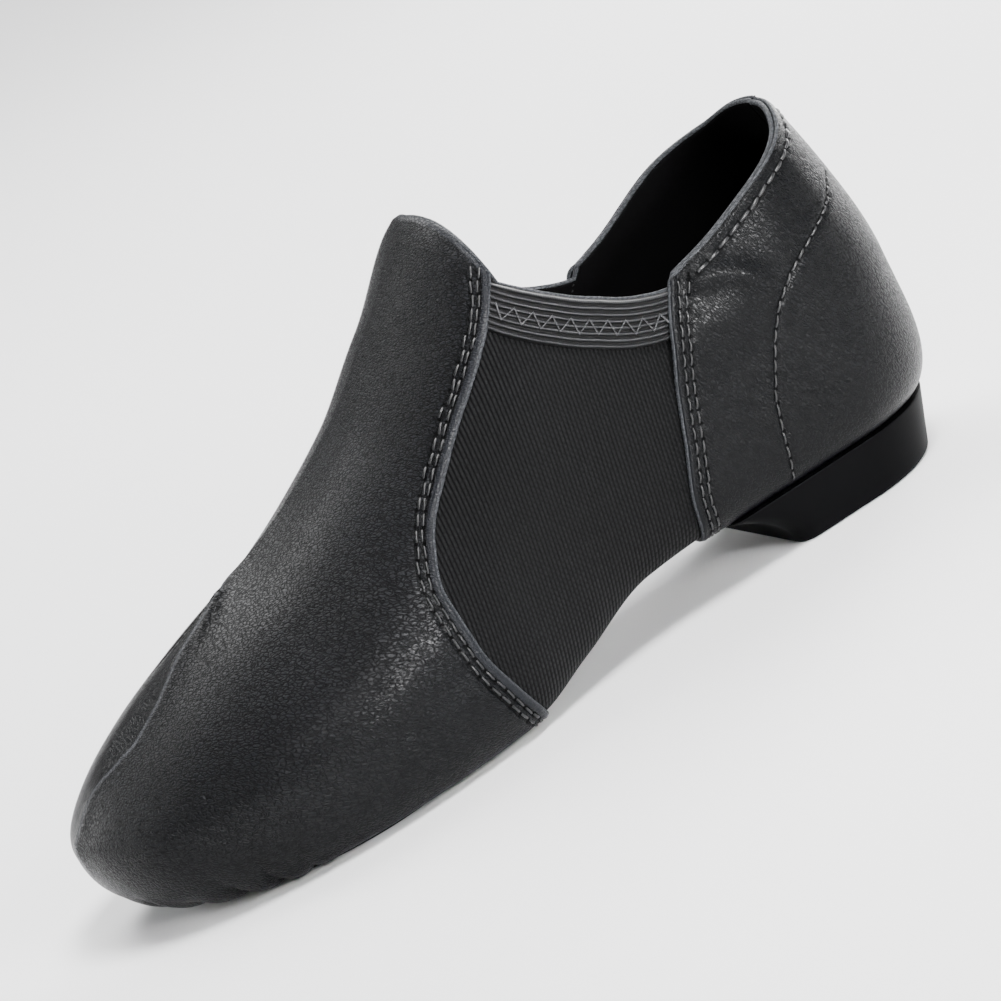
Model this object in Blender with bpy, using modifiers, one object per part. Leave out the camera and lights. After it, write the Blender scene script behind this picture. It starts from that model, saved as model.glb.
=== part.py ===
"""Left jazz shoe: a slip-on dance shoe with a split sole, an elastic gore, and a leather vamp and counter.

Metres, +X to the toe, +Y to the wearer's left (the outer side), +Z up, standing on Z = 0.
The origin is under the middle of the shoe. Inside this script X runs from 0 at the back of the heel.
"""
import bmesh
import bpy
import numpy as np

MM = 0.001

# Sizes of the last, the form that the upper is pulled over
LENGTH = 208 * MM
BALL_WIDTH = 72 * MM
THROAT_HEIGHT = 97 * MM
BACK_HEIGHT = 80 * MM
HEEL_HEIGHT = 12.3 * MM
HEEL_CENTRE = 29 * MM
BALL_PLACE = 148 * MM
BALL_SKEW = 4 * MM
TOE_TURN = 4 * MM
RIDGE_SHIFT = 3 * MM
TOE_BLUNT = 2.15

# Edges of the panels: the dip of the topline, the corner where it meets the vamp, and the band's width
DIP_PLACE = 52.6 * MM
DIP_HEIGHT = 63.6 * MM
THROAT_PLACE = 84.4 * MM
THROAT_EDGE = 83.7 * MM
BAND_DROP = 8.4 * MM
BAND_SHIFT = 5.6 * MM
BAND_SAG = 1.9
COLLAR_LIFT = 2.5 * MM

# Thicknesses and the gap that pieces keep
GAP = 0.3 * MM
LEATHER = 0.9 * MM
WALL = 1.2 * MM
BAND_THICKNESS = 0.8 * MM
INSOLE_THICKNESS = 2.0 * MM
INSOLE_REACH = 0.94

# Forefoot sole
PAD_LENGTH = 63 * MM
PAD_WIDTH = 55 * MM
PAD_PLACE = 156.5 * MM
PAD_PROUD = 0.9 * MM
PAD_ROUND = 0.7 * MM
PAD_TAPER = 0.06

# Heel
HEEL_BACK = 9.4 * MM
HEEL_FRONT = 50.9 * MM
HEEL_BASE_WIDTH = 44 * MM
HEEL_TOP_BACK = 5.2 * MM
HEEL_TOP_FRONT = 64.2 * MM
HEEL_TOP_WIDTH = 48 * MM
HEEL_CORNER = 4 * MM
HEEL_HOLLOW = 2.2
SEAT_MARGIN = 8 * MM

# A row for each section. place: share of LENGTH; outer, inner: half widths, shares of BALL_WIDTH;
# lean, draw: how far the section's upper and lower ends lie ahead of it, shares of LENGTH;
# wide: height of the widest line, share of THROAT_HEIGHT; leg, ridge: height of the section's top,
# shares of BACK_HEIGHT and THROAT_HEIGHT, added; base: underside, 0 at the ball and 1 at the heel;
# seat: flat share of the underside; side, crest: exponents of the section above the widest line;
# corner: exponent of the section below it
COLUMNS = ("place", "outer", "inner", "lean", "draw", "wide", "leg", "ridge", "base", "seat",
           "side", "crest", "corner")
SECTIONS = (
    (0.000, 0.400, 0.400, 0.000, 0.000, 0.450, 1.25, 0.00, 1.00, 0.720, 2.00, 1.50, 4.0),
    (0.060, 0.400, 0.400, 0.000, 0.000, 0.400, 1.36, 0.00, 1.00, 0.735, 2.00, 1.55, 3.6),
    (0.139, 0.400, 0.400, 0.000, 0.000, 0.330, 1.48, 0.00, 1.00, 0.755, 2.00, 1.60, 3.0),
    (0.250, 0.392, 0.388, 0.003, 0.000, 0.330, 1.46, 0.00, 1.00, 0.750, 2.00, 1.70, 3.0),
    (0.330, 0.396, 0.384, 0.010, 0.000, 0.340, 0.66, 0.66, 1.00, 0.750, 2.00, 2.50, 3.0),
    (0.405, 0.408, 0.396, 0.015, 0.000, 0.340, 0.00, 1.01, 0.95, 0.755, 2.10, 3.40, 3.0),
    (0.500, 0.440, 0.425, 0.022, 0.000, 0.300, 0.00, 0.84, 0.42, 0.770, 2.10, 2.80, 3.0),
    (0.580, 0.476, 0.458, 0.030, 0.000, 0.240, 0.00, 0.70, 0.03, 0.790, 2.00, 2.30, 3.0),
    (0.711, 0.500, 0.500, 0.030, 0.000, 0.195, 0.00, 0.555, 0.00, 0.800, 1.80, 1.95, 3.0),
    (0.820, 0.500, 0.500, -0.010, -0.070, 0.180, 0.00, 0.475, 0.00, 0.790, 1.85, 1.90, 3.0),
    (0.925, 0.500, 0.500, -0.055, -0.145, 0.185, 0.00, 0.375, 0.12, 0.740, 2.00, 2.00, 2.8),
    (1.000, 0.500, 0.500, -0.082, -0.200, 0.200, 0.00, 0.290, 0.34, 0.660, 2.20, 2.30, 2.6),
)

# Collar's edge: share of DIP_PLACE, height between the dip at 0 and the back at 1
COLLAR = ((0.00, 1.10), (0.144, 1.00), (0.26, 0.76), (0.57, 0.40), (0.80, 0.15), (1.00, 0.00))

# Rear edge of the vamp: share of THROAT_EDGE upwards, share of LENGTH
VAMP_EDGE = ((0.000, 0.563), (0.140, 0.590), (0.275, 0.607), (0.420, 0.610), (0.544, 0.590),
             (0.687, 0.534), (0.898, 0.4385), (1.000, 0.4058), (1.100, 0.3750))

# Front edge of the counter: share of DIP_HEIGHT upwards, share of DIP_PLACE
COUNTER_EDGE = ((0.000, 1.346), (0.308, 1.342), (0.536, 1.259), (0.852, 1.110), (1.000, 1.000),
                (1.200, 0.860))

# Share of the way around each side at which the round heel ends and the round toe starts
HEEL_END = 0.18
TOE_START = 0.66
TOE_UP = 2.55

# Cutters for the openings over the sole and the heel reach from below the shoe to above its seat
CUTTER_FOOT = -10 * MM
CUTTER_TOP = 25 * MM

# Fineness: points of a section's curve, steps of its lattice in each zone and around each side,
# steps of a search, the pad's corners and rings, the heel's levels, and angles that stay sharp
FINE = 120
ZONE = 40
AROUND = 240
SEARCH = 200
ROUNDS = 12
PAD_CORNERS = 48
PAD_RINGS = (1, 0.72, 0.4)
HEEL_LEVELS = (0, 0.25, 0.5, 0.72, 0.88, 1)
HEEL_ARC = 21
CORNER_ARC = 5
CREASE_ANGLE = np.radians(40)
BEVEL_ANGLE = np.radians(60)

SEAT = HEEL_HEIGHT + GAP
TABLE = dict(zip(COLUMNS, np.array(SECTIONS).T))
SIDES = (1, -1)


def smooth(places, values, at):
    """Curve through a table's points that never swings past them."""
    places, values, at = np.asarray(places, float), np.asarray(values, float), np.asarray(at, float)
    step = np.diff(places)
    rise = np.diff(values) / step
    slope = np.concatenate(([rise[0]], np.zeros(len(rise) - 1), [rise[-1]]))
    bends = rise[:-1] * rise[1:] > 0
    slope[1:-1][bends] = 2 * rise[:-1][bends] * rise[1:][bends] / (rise[:-1] + rise[1:])[bends]
    i = np.clip(np.searchsorted(places, at) - 1, 0, len(step) - 1)
    t = np.clip((at - places[i]) / step[i], 0, 1)
    start = (1 + 2 * t) * (1 - t) ** 2 * values[i] + t * (1 - t) ** 2 * step[i] * slope[i]
    end = t * t * (3 - 2 * t) * values[i + 1] - t * t * (1 - t) * step[i] * slope[i + 1]
    return start + end


def column(name, x):
    return smooth(TABLE["place"], TABLE[name], np.asarray(x) / LENGTH)


def base_height(x):
    """Underside of the upper: on the heel, up the arch, then level at the ball and up at the toe."""
    return PAD_PROUD + (SEAT - PAD_PROUD) * column("base", x)


def top_height(x):
    return BACK_HEIGHT * column("leg", x) + THROAT_HEIGHT * column("ridge", x)


def middle_line(x):
    """The line that the two sides meet on turns in towards the big toe."""
    ahead = np.clip((x - BALL_PLACE) / (LENGTH - BALL_PLACE), 0, 1)
    return -TOE_TURN * ahead ** 2


def ridge_line(x):
    """The ridge bows inward of the middle line between the throat and the ball."""
    run = np.clip((x - THROAT_PLACE) / (BALL_PLACE - THROAT_PLACE), 0, 1)
    return middle_line(x) - RIDGE_SHIFT * np.sin(np.pi * run)


def outline(side, along):
    """Plan of the widest line. along runs from 0 at the heel's back to 1 at the toe's tip."""
    ball = BALL_PLACE - side * BALL_SKEW
    name = "outer" if side >= 0 else "inner"
    back = np.clip(along / HEEL_END, 0, 1) * np.pi / 2
    front = np.clip((along - TOE_START) / (1 - TOE_START), 0, 1) * np.pi / 2
    run = np.clip((along - HEEL_END) / (TOE_START - HEEL_END), 0, 1)
    side_x = HEEL_CENTRE + (BALL_PLACE - HEEL_CENTRE) * run - side * BALL_SKEW * run ** 3
    half = BALL_WIDTH * column(name, side_x)
    x = side_x - HEEL_CENTRE * np.cos(back) * (run == 0)
    x += (LENGTH - ball) * np.sin(front) ** (2 / TOE_BLUNT)
    tip = middle_line(LENGTH)
    y = side * half * np.sin(back)
    if front > 0:
        y = tip + (side * half - tip) * np.cos(front).clip(0) ** (2 / TOE_BLUNT)
    return np.array([x, y])


def by_length(points, count):
    """The same line as count + 1 points, an equal length apart."""
    gone = np.concatenate(([0], np.cumsum(np.linalg.norm(np.diff(points, axis=0), axis=1))))
    wanted = np.linspace(0, gone[-1], count + 1)
    return np.stack([np.interp(wanted, gone, points[:, k]) for k in range(3)], axis=1)


def rib(side, along):
    """One section of the form, from the sole's middle line (0), past the edge of its flat underside (1)
    and the widest line (2), to the top (3)."""
    place = outline(0, along)[0]
    edge = outline(side, along)
    rooted = max(place, HEEL_CENTRE)
    crown_x = rooted + LENGTH * column("lean", place)
    root_x = rooted + LENGTH * column("draw", place)
    crown = np.array([crown_x, ridge_line(crown_x)])
    root = np.array([root_x, middle_line(root_x)])
    wide = THROAT_HEIGHT * column("wide", place)
    seat, side_power = column("seat", place), column("side", place)
    crest_power, corner_power = column("crest", place), column("corner", place)
    turn = np.linspace(0, np.pi / 2, FINE)
    sine, cosine = np.sin(turn), np.cos(turn).clip(0)

    def points(end, out, height):
        plan = end + np.outer(out, edge - end)
        return np.column_stack([plan, height(plan[:, 0])])

    flat = points(root, seat * np.linspace(0, 1, FINE), base_height)
    lower = points(root, seat + (1 - seat) * sine,
                   lambda x: wide - (wide - base_height(x)) * cosine ** (2 / corner_power))
    upper = points(crown, cosine ** (2 / side_power),
                   lambda x: wide + (top_height(x) - wide) * sine ** (2 / crest_power))
    zones = [by_length(zone, ZONE) for zone in (flat, lower, upper)]
    return np.concatenate([zones[0][:-1], zones[1][:-1], zones[2]])


FORM = {side: np.array([rib(side, i / AROUND) for i in range(AROUND + 1)]) for side in SIDES}


def spot(side, along, up):
    """Points of the form at places along the shoe (0 to 1) and up its sections (0 to 3)."""
    a, b = np.clip(along, 0, 1) * AROUND, np.clip(up, 0, 3) * ZONE
    i, j = np.minimum(np.int_(a), AROUND - 1), np.minimum(np.int_(b), 3 * ZONE - 1)
    s, t = np.expand_dims(a - i, -1), np.expand_dims(b - j, -1)
    form = FORM[side]
    near = form[i, j] * (1 - t) + form[i, j + 1] * t
    far = form[i + 1, j] * (1 - t) + form[i + 1, j + 1] * t
    return near * (1 - s) + far * s


def band_edge(x):
    """Upper edge of the elastic band, which sags between the collar's dip and the throat."""
    run = np.clip((x - DIP_PLACE) / (THROAT_PLACE - DIP_PLACE), 0, None)
    return DIP_HEIGHT + (THROAT_EDGE - DIP_HEIGHT) * run ** BAND_SAG


def topline(side, x):
    """Edge of the opening: the counter's collar, a little higher on the inner side, then the band."""
    places, shares = zip(*COLLAR)
    collar = DIP_HEIGHT + (BACK_HEIGHT - DIP_HEIGHT) * smooth(places, shares, x / DIP_PLACE)
    if side < 0:
        collar += COLLAR_LIFT * np.sin(np.pi * np.clip(x / DIP_PLACE, 0, 1)) ** 2
    return np.where(x < DIP_PLACE, collar, band_edge(x))


def vamp_edge(z):
    heights, places = zip(*VAMP_EDGE)
    return LENGTH * smooth(heights, places, z / THROAT_EDGE)


def counter_edge(z):
    heights, places = zip(*COUNTER_EDGE)
    return DIP_PLACE * smooth(heights, places, z / DIP_HEIGHT)


def crossing(values, places):
    """First of the places at which the values turn from negative to positive."""
    i = int(np.argmax(values[1:] >= 0))
    return places[i] + (places[i + 1] - places[i]) * values[i] / (values[i] - values[i + 1])


def find(side, x, z):
    """Place along and up the form of a point that the side view shows at x, z, above the widest line."""
    scale = (TOE_START - HEEL_END) / (BALL_PLACE - HEEL_CENTRE)
    ups = np.linspace(2, 3, ZONE + 1)
    along = HEEL_END + scale * (x - HEEL_CENTRE)
    for _ in range(ROUNDS):
        up = np.interp(z, spot(side, along, ups)[:, 2], ups)
        along += scale * (x - spot(side, along, up)[0])
    return along, up


THROAT_ALONG = find(1, THROAT_PLACE, THROAT_EDGE)[0]
DIP_ALONG = find(1, DIP_PLACE, DIP_HEIGHT)[0]


def collar_up(side, along):
    """How far up its section the topline cuts it; ahead of the throat, the row that runs on to the toe."""
    ups = np.linspace(2, 3, 4 * ZONE)
    points = spot(side, min(along, THROAT_ALONG), ups)
    edge = crossing(points[:, 2] - topline(side, points[:, 0]), ups)
    ahead = max(0, along - THROAT_ALONG) / (1 - THROAT_ALONG)
    return edge + (TOE_UP - edge) * ahead


ALONGS = np.linspace(0, 1, AROUND + 1)
COLLAR_UPS = {side: np.array([collar_up(side, along) for along in ALONGS]) for side in SIDES}


def on_form(side, along, row):
    """Rows 0 to 2 follow the form, 2 to 3 reach the topline, and 3 to 4 the ridge of the vamp."""
    edge = np.interp(along, ALONGS, COLLAR_UPS[side])
    up = min(row, 2) + (edge - 2) * np.clip(row - 2, 0, 1) + (3 - edge) * np.clip(row - 3, 0, 1)
    return spot(side, along, up)


def edge_along(side, row, edge):
    """Where along the shoe a panel's edge crosses one row."""
    alongs = np.linspace(HEEL_END, (1 + TOE_START) / 2, SEARCH)
    points = on_form(side, alongs, row)
    return crossing(points[:, 0] - edge(points[:, 2]), alongs)


def new_object(name, bm, group, material):
    mesh = bpy.data.meshes.new(name)
    bm.to_mesh(mesh)
    bm.free()
    piece = bpy.data.objects.new(name, mesh)
    piece.location.x = -LENGTH / 2
    group.objects.link(piece)
    if material:
        mesh.materials.append(material)
        mesh.shade_smooth()
        mesh.set_sharp_from_angle(angle=CREASE_ANGLE)
    return piece


def paint(name, colour, roughness):
    material = bpy.data.materials.new(name)
    material.use_nodes = True
    shader = material.node_tree.nodes["Principled BSDF"]
    shader.inputs["Base Color"].default_value = (*colour, 1)
    shader.inputs["Roughness"].default_value = roughness
    shader.inputs["Metallic"].default_value = 0
    return material


def thicken(piece, depth, thickness):
    """Makes a sheet on the form a layer of the given thickness, at a depth under it."""
    layer = piece.modifiers.new("Layer", "SOLIDIFY")
    layer.thickness = thickness
    layer.offset = -1 - 2 * depth / thickness
    layer.use_even_offset = True


def cut(piece, cutter):
    hole = piece.modifiers.new("Opening", "BOOLEAN")
    hole.operation = "DIFFERENCE"
    hole.object = cutter


def add_sheet(bm, side, rows, stations, along_of, point_of, keep=None):
    """Adds one side's patch: a grid over rows and stations, with its faces looking out."""
    grid = [[bm.verts.new(point_of(side, along_of(side, row, s), row)) for s in stations] for row in rows]
    for j in range(len(rows) - 1):
        for i in range(len(stations) - 1):
            if keep and not keep(stations[i], rows[j]):
                continue
            corners = [grid[j][i], grid[j][i + 1], grid[j + 1][i + 1], grid[j + 1][i]]
            bm.faces.new(corners if side < 0 else corners[::-1])


def weld(bm):
    """Joins the two sides, and splits each face along its shorter diagonal, as the layers curve both ways."""
    bmesh.ops.remove_doubles(bm, verts=bm.verts, dist=0.01 * MM)
    loose = [vert for vert in bm.verts if not vert.link_faces]
    bmesh.ops.delete(bm, geom=loose, context="VERTS")
    bmesh.ops.triangulate(bm, faces=bm.faces, quad_method="SHORT_EDGE")
    return bm


LOW_ROWS = [0, 0.5, 1, 1.25, 1.5, 1.75, 2]
SIDE_ROWS = LOW_ROWS + [2.2, 2.4, 2.6, 2.8, 2.9, 3]
ALL_ROWS = SIDE_ROWS + [3.2, 3.4, 3.6, 3.8, 4]
TOE_STEPS = 10


def spread(ends, counts):
    """Even steps between the listed ends."""
    runs = [np.linspace(a, b, n + 1)[:-1] for a, b, n in zip(ends, ends[1:], counts)]
    return np.concatenate(runs + [ends[-1:]])


def make_upper(group, holes):
    """Elastic gore and lining: one shell, open at the collar and over the sole and the heel."""
    bm = bmesh.new()
    marks = [0, 1, 2, 3, 4, 5]
    stations = spread(marks, [6, 6, 5, 10, TOE_STEPS])

    def along_of(side, row, mark):
        return np.interp(mark, marks, [0, HEEL_END, DIP_ALONG, THROAT_ALONG, TOE_START, 1])

    for side in SIDES:
        add_sheet(bm, side, ALL_ROWS, stations, along_of, on_form,
                  lambda mark, row: row < 3 or mark >= 3)
    piece = new_object("upper", weld(bm), group, paint("gore", (0.02, 0.02, 0.023), 0.75))
    thicken(piece, LEATHER + GAP, WALL)
    for hole in holes:
        cut(piece, hole)


def make_vamp(group, hole):
    """Leather over the toe and the front of the foot, cut away over the forefoot's sole."""
    bm = bmesh.new()
    edges = {(side, row): edge_along(side, row, vamp_edge) for side in SIDES for row in SIDE_ROWS}

    def along_of(side, row, mark):
        start = edges[side, row] if row < 3 else THROAT_ALONG
        return np.interp(mark, [0, 1, 2], [start, TOE_START, 1])

    for side in SIDES:
        add_sheet(bm, side, ALL_ROWS, spread([0, 1, 2], [9, TOE_STEPS]), along_of, on_form)
    piece = new_object("vamp", weld(bm), group, paint("leather", (0.022, 0.023, 0.026), 0.42))
    thicken(piece, 0, LEATHER)
    cut(piece, hole)


def make_counter(group, hole):
    """Leather around the heel, turned under it at the seat."""
    bm = bmesh.new()
    edges = {(side, row): edge_along(side, row, counter_edge) for side in SIDES for row in SIDE_ROWS[:-1]}

    def along_of(side, row, share):
        return share * (edges[side, row] if row < 3 else DIP_ALONG)

    for side in SIDES:
        add_sheet(bm, side, SIDE_ROWS, np.linspace(0, 1, 15), along_of, on_form)
    piece = new_object("counter", weld(bm), group, paint("counter_leather", (0.022, 0.023, 0.026), 0.38))
    thicken(piece, 0, LEATHER)
    cut(piece, hole)


def make_band(group, side):
    """Ribbed elastic along the topline, from the counter's corner to the throat."""
    bm = bmesh.new()
    start = DIP_PLACE + 2 * GAP
    reach = THROAT_PLACE - 2 * GAP - start

    def in_side_view(side, share, drop):
        x = start + reach * share
        return spot(side, *find(side, x + BAND_SHIFT * drop, band_edge(x) - BAND_DROP * drop))

    def along_of(side, drop, share):
        return share

    add_sheet(bm, side, [1, 0.75, 0.5, 0.25, 0], np.linspace(0, 1, 10), along_of, in_side_view)
    name = "collar_band_outer" if side > 0 else "collar_band_inner"
    piece = new_object(name, weld(bm), group, paint(name, (0.018, 0.018, 0.02), 0.7))
    thicken(piece, LEATHER - BAND_THICKNESS, BAND_THICKNESS)


def make_insole(group):
    """Flat layer on the floor of the lining."""
    bm = bmesh.new()

    def along_of(side, row, share):
        return share

    for side in SIDES:
        add_sheet(bm, side, [0, 0.5, INSOLE_REACH], np.linspace(0, 1, 33), along_of, on_form)
    piece = new_object("insole", weld(bm), group, paint("insole", (0.03, 0.03, 0.03), 0.85))
    thicken(piece, LEATHER + GAP + WALL + GAP, INSOLE_THICKNESS)


def pad_outline(margin, count):
    """Plan of the forefoot's sole, an oval that is narrower at its front."""
    points = []
    for turn in np.linspace(0, 2 * np.pi, count, endpoint=False):
        x = PAD_PLACE + (PAD_LENGTH / 2 + margin) * np.cos(turn)
        half = (PAD_WIDTH / 2 + margin) * (1 - PAD_TAPER * np.cos(turn))
        points.append(np.array([x, half * np.sin(turn) + middle_line(PAD_PLACE)]))
    return points


def make_pad(group):
    """Forefoot's sole: a rubber oval, level under the ball and lifted with the toe."""
    bm = bmesh.new()
    middle = np.array([PAD_PLACE, middle_line(PAD_PLACE)])

    def lifted(point):
        return (*point, float(base_height(point[0])) - PAD_PROUD)

    rings = []
    for share in PAD_RINGS:
        plan = [middle + (point - middle) * share for point in pad_outline(0, PAD_CORNERS)]
        rings.append([bm.verts.new(lifted(point)) for point in plan])
    for outer, inner in zip(rings, rings[1:]):
        for i in range(len(outer)):
            k = (i + 1) % len(outer)
            bm.faces.new((outer[i], inner[i], inner[k], outer[k]))
    bm.faces.new(rings[-1][::-1])
    piece = new_object("forefoot_sole", bm, group, paint("sole_rubber", (0.045, 0.046, 0.05), 0.8))
    body = piece.modifiers.new("Thickness", "SOLIDIFY")
    body.thickness = PAD_PROUD + LEATHER + GAP + WALL
    body.offset = -1
    edge = piece.modifiers.new("Edge", "BEVEL")
    edge.width = PAD_ROUND
    edge.segments = 2
    edge.limit_method = "ANGLE"
    edge.angle_limit = BEVEL_ANGLE


def heel_outline(share, margin=0.0):
    """Plan of the heel at a share of its height: round at the back, straight across at the front."""
    back = HEEL_BACK + (HEEL_TOP_BACK - HEEL_BACK) * share + margin
    front = HEEL_FRONT + (HEEL_TOP_FRONT - HEEL_FRONT) * share ** HEEL_HOLLOW - margin
    half = (HEEL_BASE_WIDTH + (HEEL_TOP_WIDTH - HEEL_BASE_WIDTH) * share) / 2 - margin
    centre = back + half
    arc = np.linspace(0, np.pi, HEEL_ARC)
    points = [(centre - half * np.sin(turn), -half * np.cos(turn)) for turn in arc]
    for turn in np.linspace(0, np.pi / 2, CORNER_ARC):
        points.append((front - HEEL_CORNER + HEEL_CORNER * np.sin(turn),
                       half - HEEL_CORNER + HEEL_CORNER * np.cos(turn)))
    for turn in np.linspace(np.pi / 2, np.pi, CORNER_ARC):
        points.append((front - HEEL_CORNER + HEEL_CORNER * np.sin(turn),
                       -half + HEEL_CORNER + HEEL_CORNER * np.cos(turn)))
    return points


def loft(levels):
    """Closed body through outlines of equal counts, from the lowest up."""
    bm = bmesh.new()
    rings = [[bm.verts.new((x, y, z)) for x, y in points] for points, z in levels]
    for lower, upper in zip(rings, rings[1:]):
        for i in range(len(lower)):
            k = (i + 1) % len(lower)
            bm.faces.new((lower[i], upper[i], upper[k], lower[k]))
    bm.faces.new(rings[0])
    bm.faces.new(rings[-1][::-1])
    bmesh.ops.recalc_face_normals(bm, faces=bm.faces)
    return bm


def make_heel(group):
    """Rubber heel with a hollow front face."""
    bm = loft([(heel_outline(share), share * HEEL_HEIGHT) for share in HEEL_LEVELS])
    new_object("heel", bm, group, paint("heel_rubber", (0.02, 0.02, 0.022), 0.45))


def make_cutter(name, outline_points, group):
    """Upright prism that cuts an opening in the upper's underside."""
    levels = [(outline_points, CUTTER_FOOT), (outline_points, CUTTER_TOP)]
    piece = new_object(name, loft(levels), group, None)
    piece.hide_render = True
    piece.display_type = "WIRE"
    return piece


def main():
    for old in list(bpy.data.objects):
        bpy.data.objects.remove(old)
    shoe = bpy.data.collections.new("jazz_shoe")
    cutters = bpy.data.collections.new("cutters")
    bpy.context.scene.collection.children.link(shoe)
    bpy.context.scene.collection.children.link(cutters)
    sole_hole = make_cutter("sole_opening", pad_outline(GAP, 2 * PAD_CORNERS), cutters)
    seat_hole = make_cutter("seat_opening", heel_outline(1, SEAT_MARGIN), cutters)
    make_upper(shoe, (sole_hole, seat_hole))
    make_vamp(shoe, sole_hole)
    make_counter(shoe, seat_hole)
    for side in SIDES:
        make_band(shoe, side)
    make_insole(shoe)
    make_pad(shoe)
    make_heel(shoe)


main()
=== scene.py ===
"""Looks of a left jazz shoe: grained black leather, ribbed elastic, stitching and a split rubber sole."""

import bmesh
import bpy
import numpy as np
from mathutils import Matrix, kdtree
from mathutils.bvhtree import BVHTree


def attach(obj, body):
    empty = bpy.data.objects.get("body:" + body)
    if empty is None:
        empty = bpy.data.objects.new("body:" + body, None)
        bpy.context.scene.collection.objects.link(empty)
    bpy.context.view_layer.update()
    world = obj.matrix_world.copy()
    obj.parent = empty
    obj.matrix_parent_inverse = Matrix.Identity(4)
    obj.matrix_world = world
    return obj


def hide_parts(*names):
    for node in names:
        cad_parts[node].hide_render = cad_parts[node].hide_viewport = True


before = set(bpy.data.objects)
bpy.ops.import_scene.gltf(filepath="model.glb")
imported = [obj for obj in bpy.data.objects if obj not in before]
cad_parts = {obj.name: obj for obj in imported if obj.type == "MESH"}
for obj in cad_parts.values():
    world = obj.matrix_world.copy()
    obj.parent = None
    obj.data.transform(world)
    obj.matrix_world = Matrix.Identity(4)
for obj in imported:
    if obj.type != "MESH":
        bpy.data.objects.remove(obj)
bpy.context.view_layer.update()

MM = 0.001

# Sizes of the last and of the panels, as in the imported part
LENGTH = 208 * MM
BALL_WIDTH = 72 * MM
THROAT_HEIGHT = 97 * MM
BACK_HEIGHT = 80 * MM
HEEL_HEIGHT = 12.3 * MM
HEEL_CENTRE = 29 * MM
BALL_PLACE = 148 * MM
BALL_SKEW = 4 * MM
TOE_TURN = 4 * MM
RIDGE_SHIFT = 3 * MM
TOE_BLUNT = 2.15
DIP_PLACE = 52.6 * MM
DIP_HEIGHT = 63.6 * MM
THROAT_PLACE = 84.4 * MM
THROAT_EDGE = 83.7 * MM
BAND_DROP = 8.4 * MM
BAND_SHIFT = 5.6 * MM
BAND_SAG = 1.9
COLLAR_LIFT = 2.5 * MM
GAP = 0.3 * MM
LEATHER = 0.9 * MM
WALL = 1.2 * MM
BAND_THICKNESS = 0.8 * MM
INSOLE_THICKNESS = 2.0 * MM
INSOLE_REACH = 0.94
PAD_LENGTH = 63 * MM
PAD_WIDTH = 55 * MM
PAD_PLACE = 156.5 * MM
PAD_PROUD = 0.9 * MM
PAD_TAPER = 0.06
HEEL_BACK = 9.4 * MM
HEEL_FRONT = 50.9 * MM
HEEL_BASE_WIDTH = 44 * MM
HEEL_TOP_BACK = 5.2 * MM
HEEL_TOP_FRONT = 64.2 * MM
HEEL_TOP_WIDTH = 48 * MM
HEEL_CORNER = 4 * MM
HEEL_HOLLOW = 2.2
HEEL_END = 0.18
TOE_START = 0.66
TOE_UP = 2.55
COLUMNS = ("place", "outer", "inner", "lean", "draw", "wide", "leg", "ridge", "base", "seat",
           "side", "crest", "corner")
SECTIONS = (
    (0.000, 0.400, 0.400, 0.000, 0.000, 0.450, 1.25, 0.00, 1.00, 0.720, 2.00, 1.50, 4.0),
    (0.060, 0.400, 0.400, 0.000, 0.000, 0.400, 1.36, 0.00, 1.00, 0.735, 2.00, 1.55, 3.6),
    (0.139, 0.400, 0.400, 0.000, 0.000, 0.330, 1.48, 0.00, 1.00, 0.755, 2.00, 1.60, 3.0),
    (0.250, 0.392, 0.388, 0.003, 0.000, 0.330, 1.46, 0.00, 1.00, 0.750, 2.00, 1.70, 3.0),
    (0.330, 0.396, 0.384, 0.010, 0.000, 0.340, 0.66, 0.66, 1.00, 0.750, 2.00, 2.50, 3.0),
    (0.405, 0.408, 0.396, 0.015, 0.000, 0.340, 0.00, 1.01, 0.95, 0.755, 2.10, 3.40, 3.0),
    (0.500, 0.440, 0.425, 0.022, 0.000, 0.300, 0.00, 0.84, 0.42, 0.770, 2.10, 2.80, 3.0),
    (0.580, 0.476, 0.458, 0.030, 0.000, 0.240, 0.00, 0.70, 0.03, 0.790, 2.00, 2.30, 3.0),
    (0.711, 0.500, 0.500, 0.030, 0.000, 0.195, 0.00, 0.555, 0.00, 0.800, 1.80, 1.95, 3.0),
    (0.820, 0.500, 0.500, -0.010, -0.070, 0.180, 0.00, 0.475, 0.00, 0.790, 1.85, 1.90, 3.0),
    (0.925, 0.500, 0.500, -0.055, -0.145, 0.185, 0.00, 0.375, 0.12, 0.740, 2.00, 2.00, 2.8),
    (1.000, 0.500, 0.500, -0.082, -0.200, 0.200, 0.00, 0.290, 0.34, 0.660, 2.20, 2.30, 2.6),
)
COLLAR = ((0.00, 1.10), (0.144, 1.00), (0.26, 0.76), (0.57, 0.40), (0.80, 0.15), (1.00, 0.00))
VAMP_EDGE = ((0.000, 0.563), (0.140, 0.590), (0.275, 0.607), (0.420, 0.610), (0.544, 0.590),
             (0.687, 0.534), (0.898, 0.4385), (1.000, 0.4058), (1.100, 0.3750))
COUNTER_EDGE = ((0.000, 1.346), (0.308, 1.342), (0.536, 1.259), (0.852, 1.110), (1.000, 1.000),
                (1.200, 0.860))
SEAT = HEEL_HEIGHT + GAP
TABLE = dict(zip(COLUMNS, np.array(SECTIONS).T))
SIDES = (1, -1)
MIDDLE = np.array([LENGTH / 2, 0, 0])
ALONG_PER_LENGTH = (TOE_START - HEEL_END) / (BALL_PLACE - HEEL_CENTRE)

# Fineness of the form: points that trace a zone of a section, steps kept of each zone, and sections
FINE = 240
ZONE = 100
AROUND = 600
SEARCH_STEPS = 12


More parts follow.
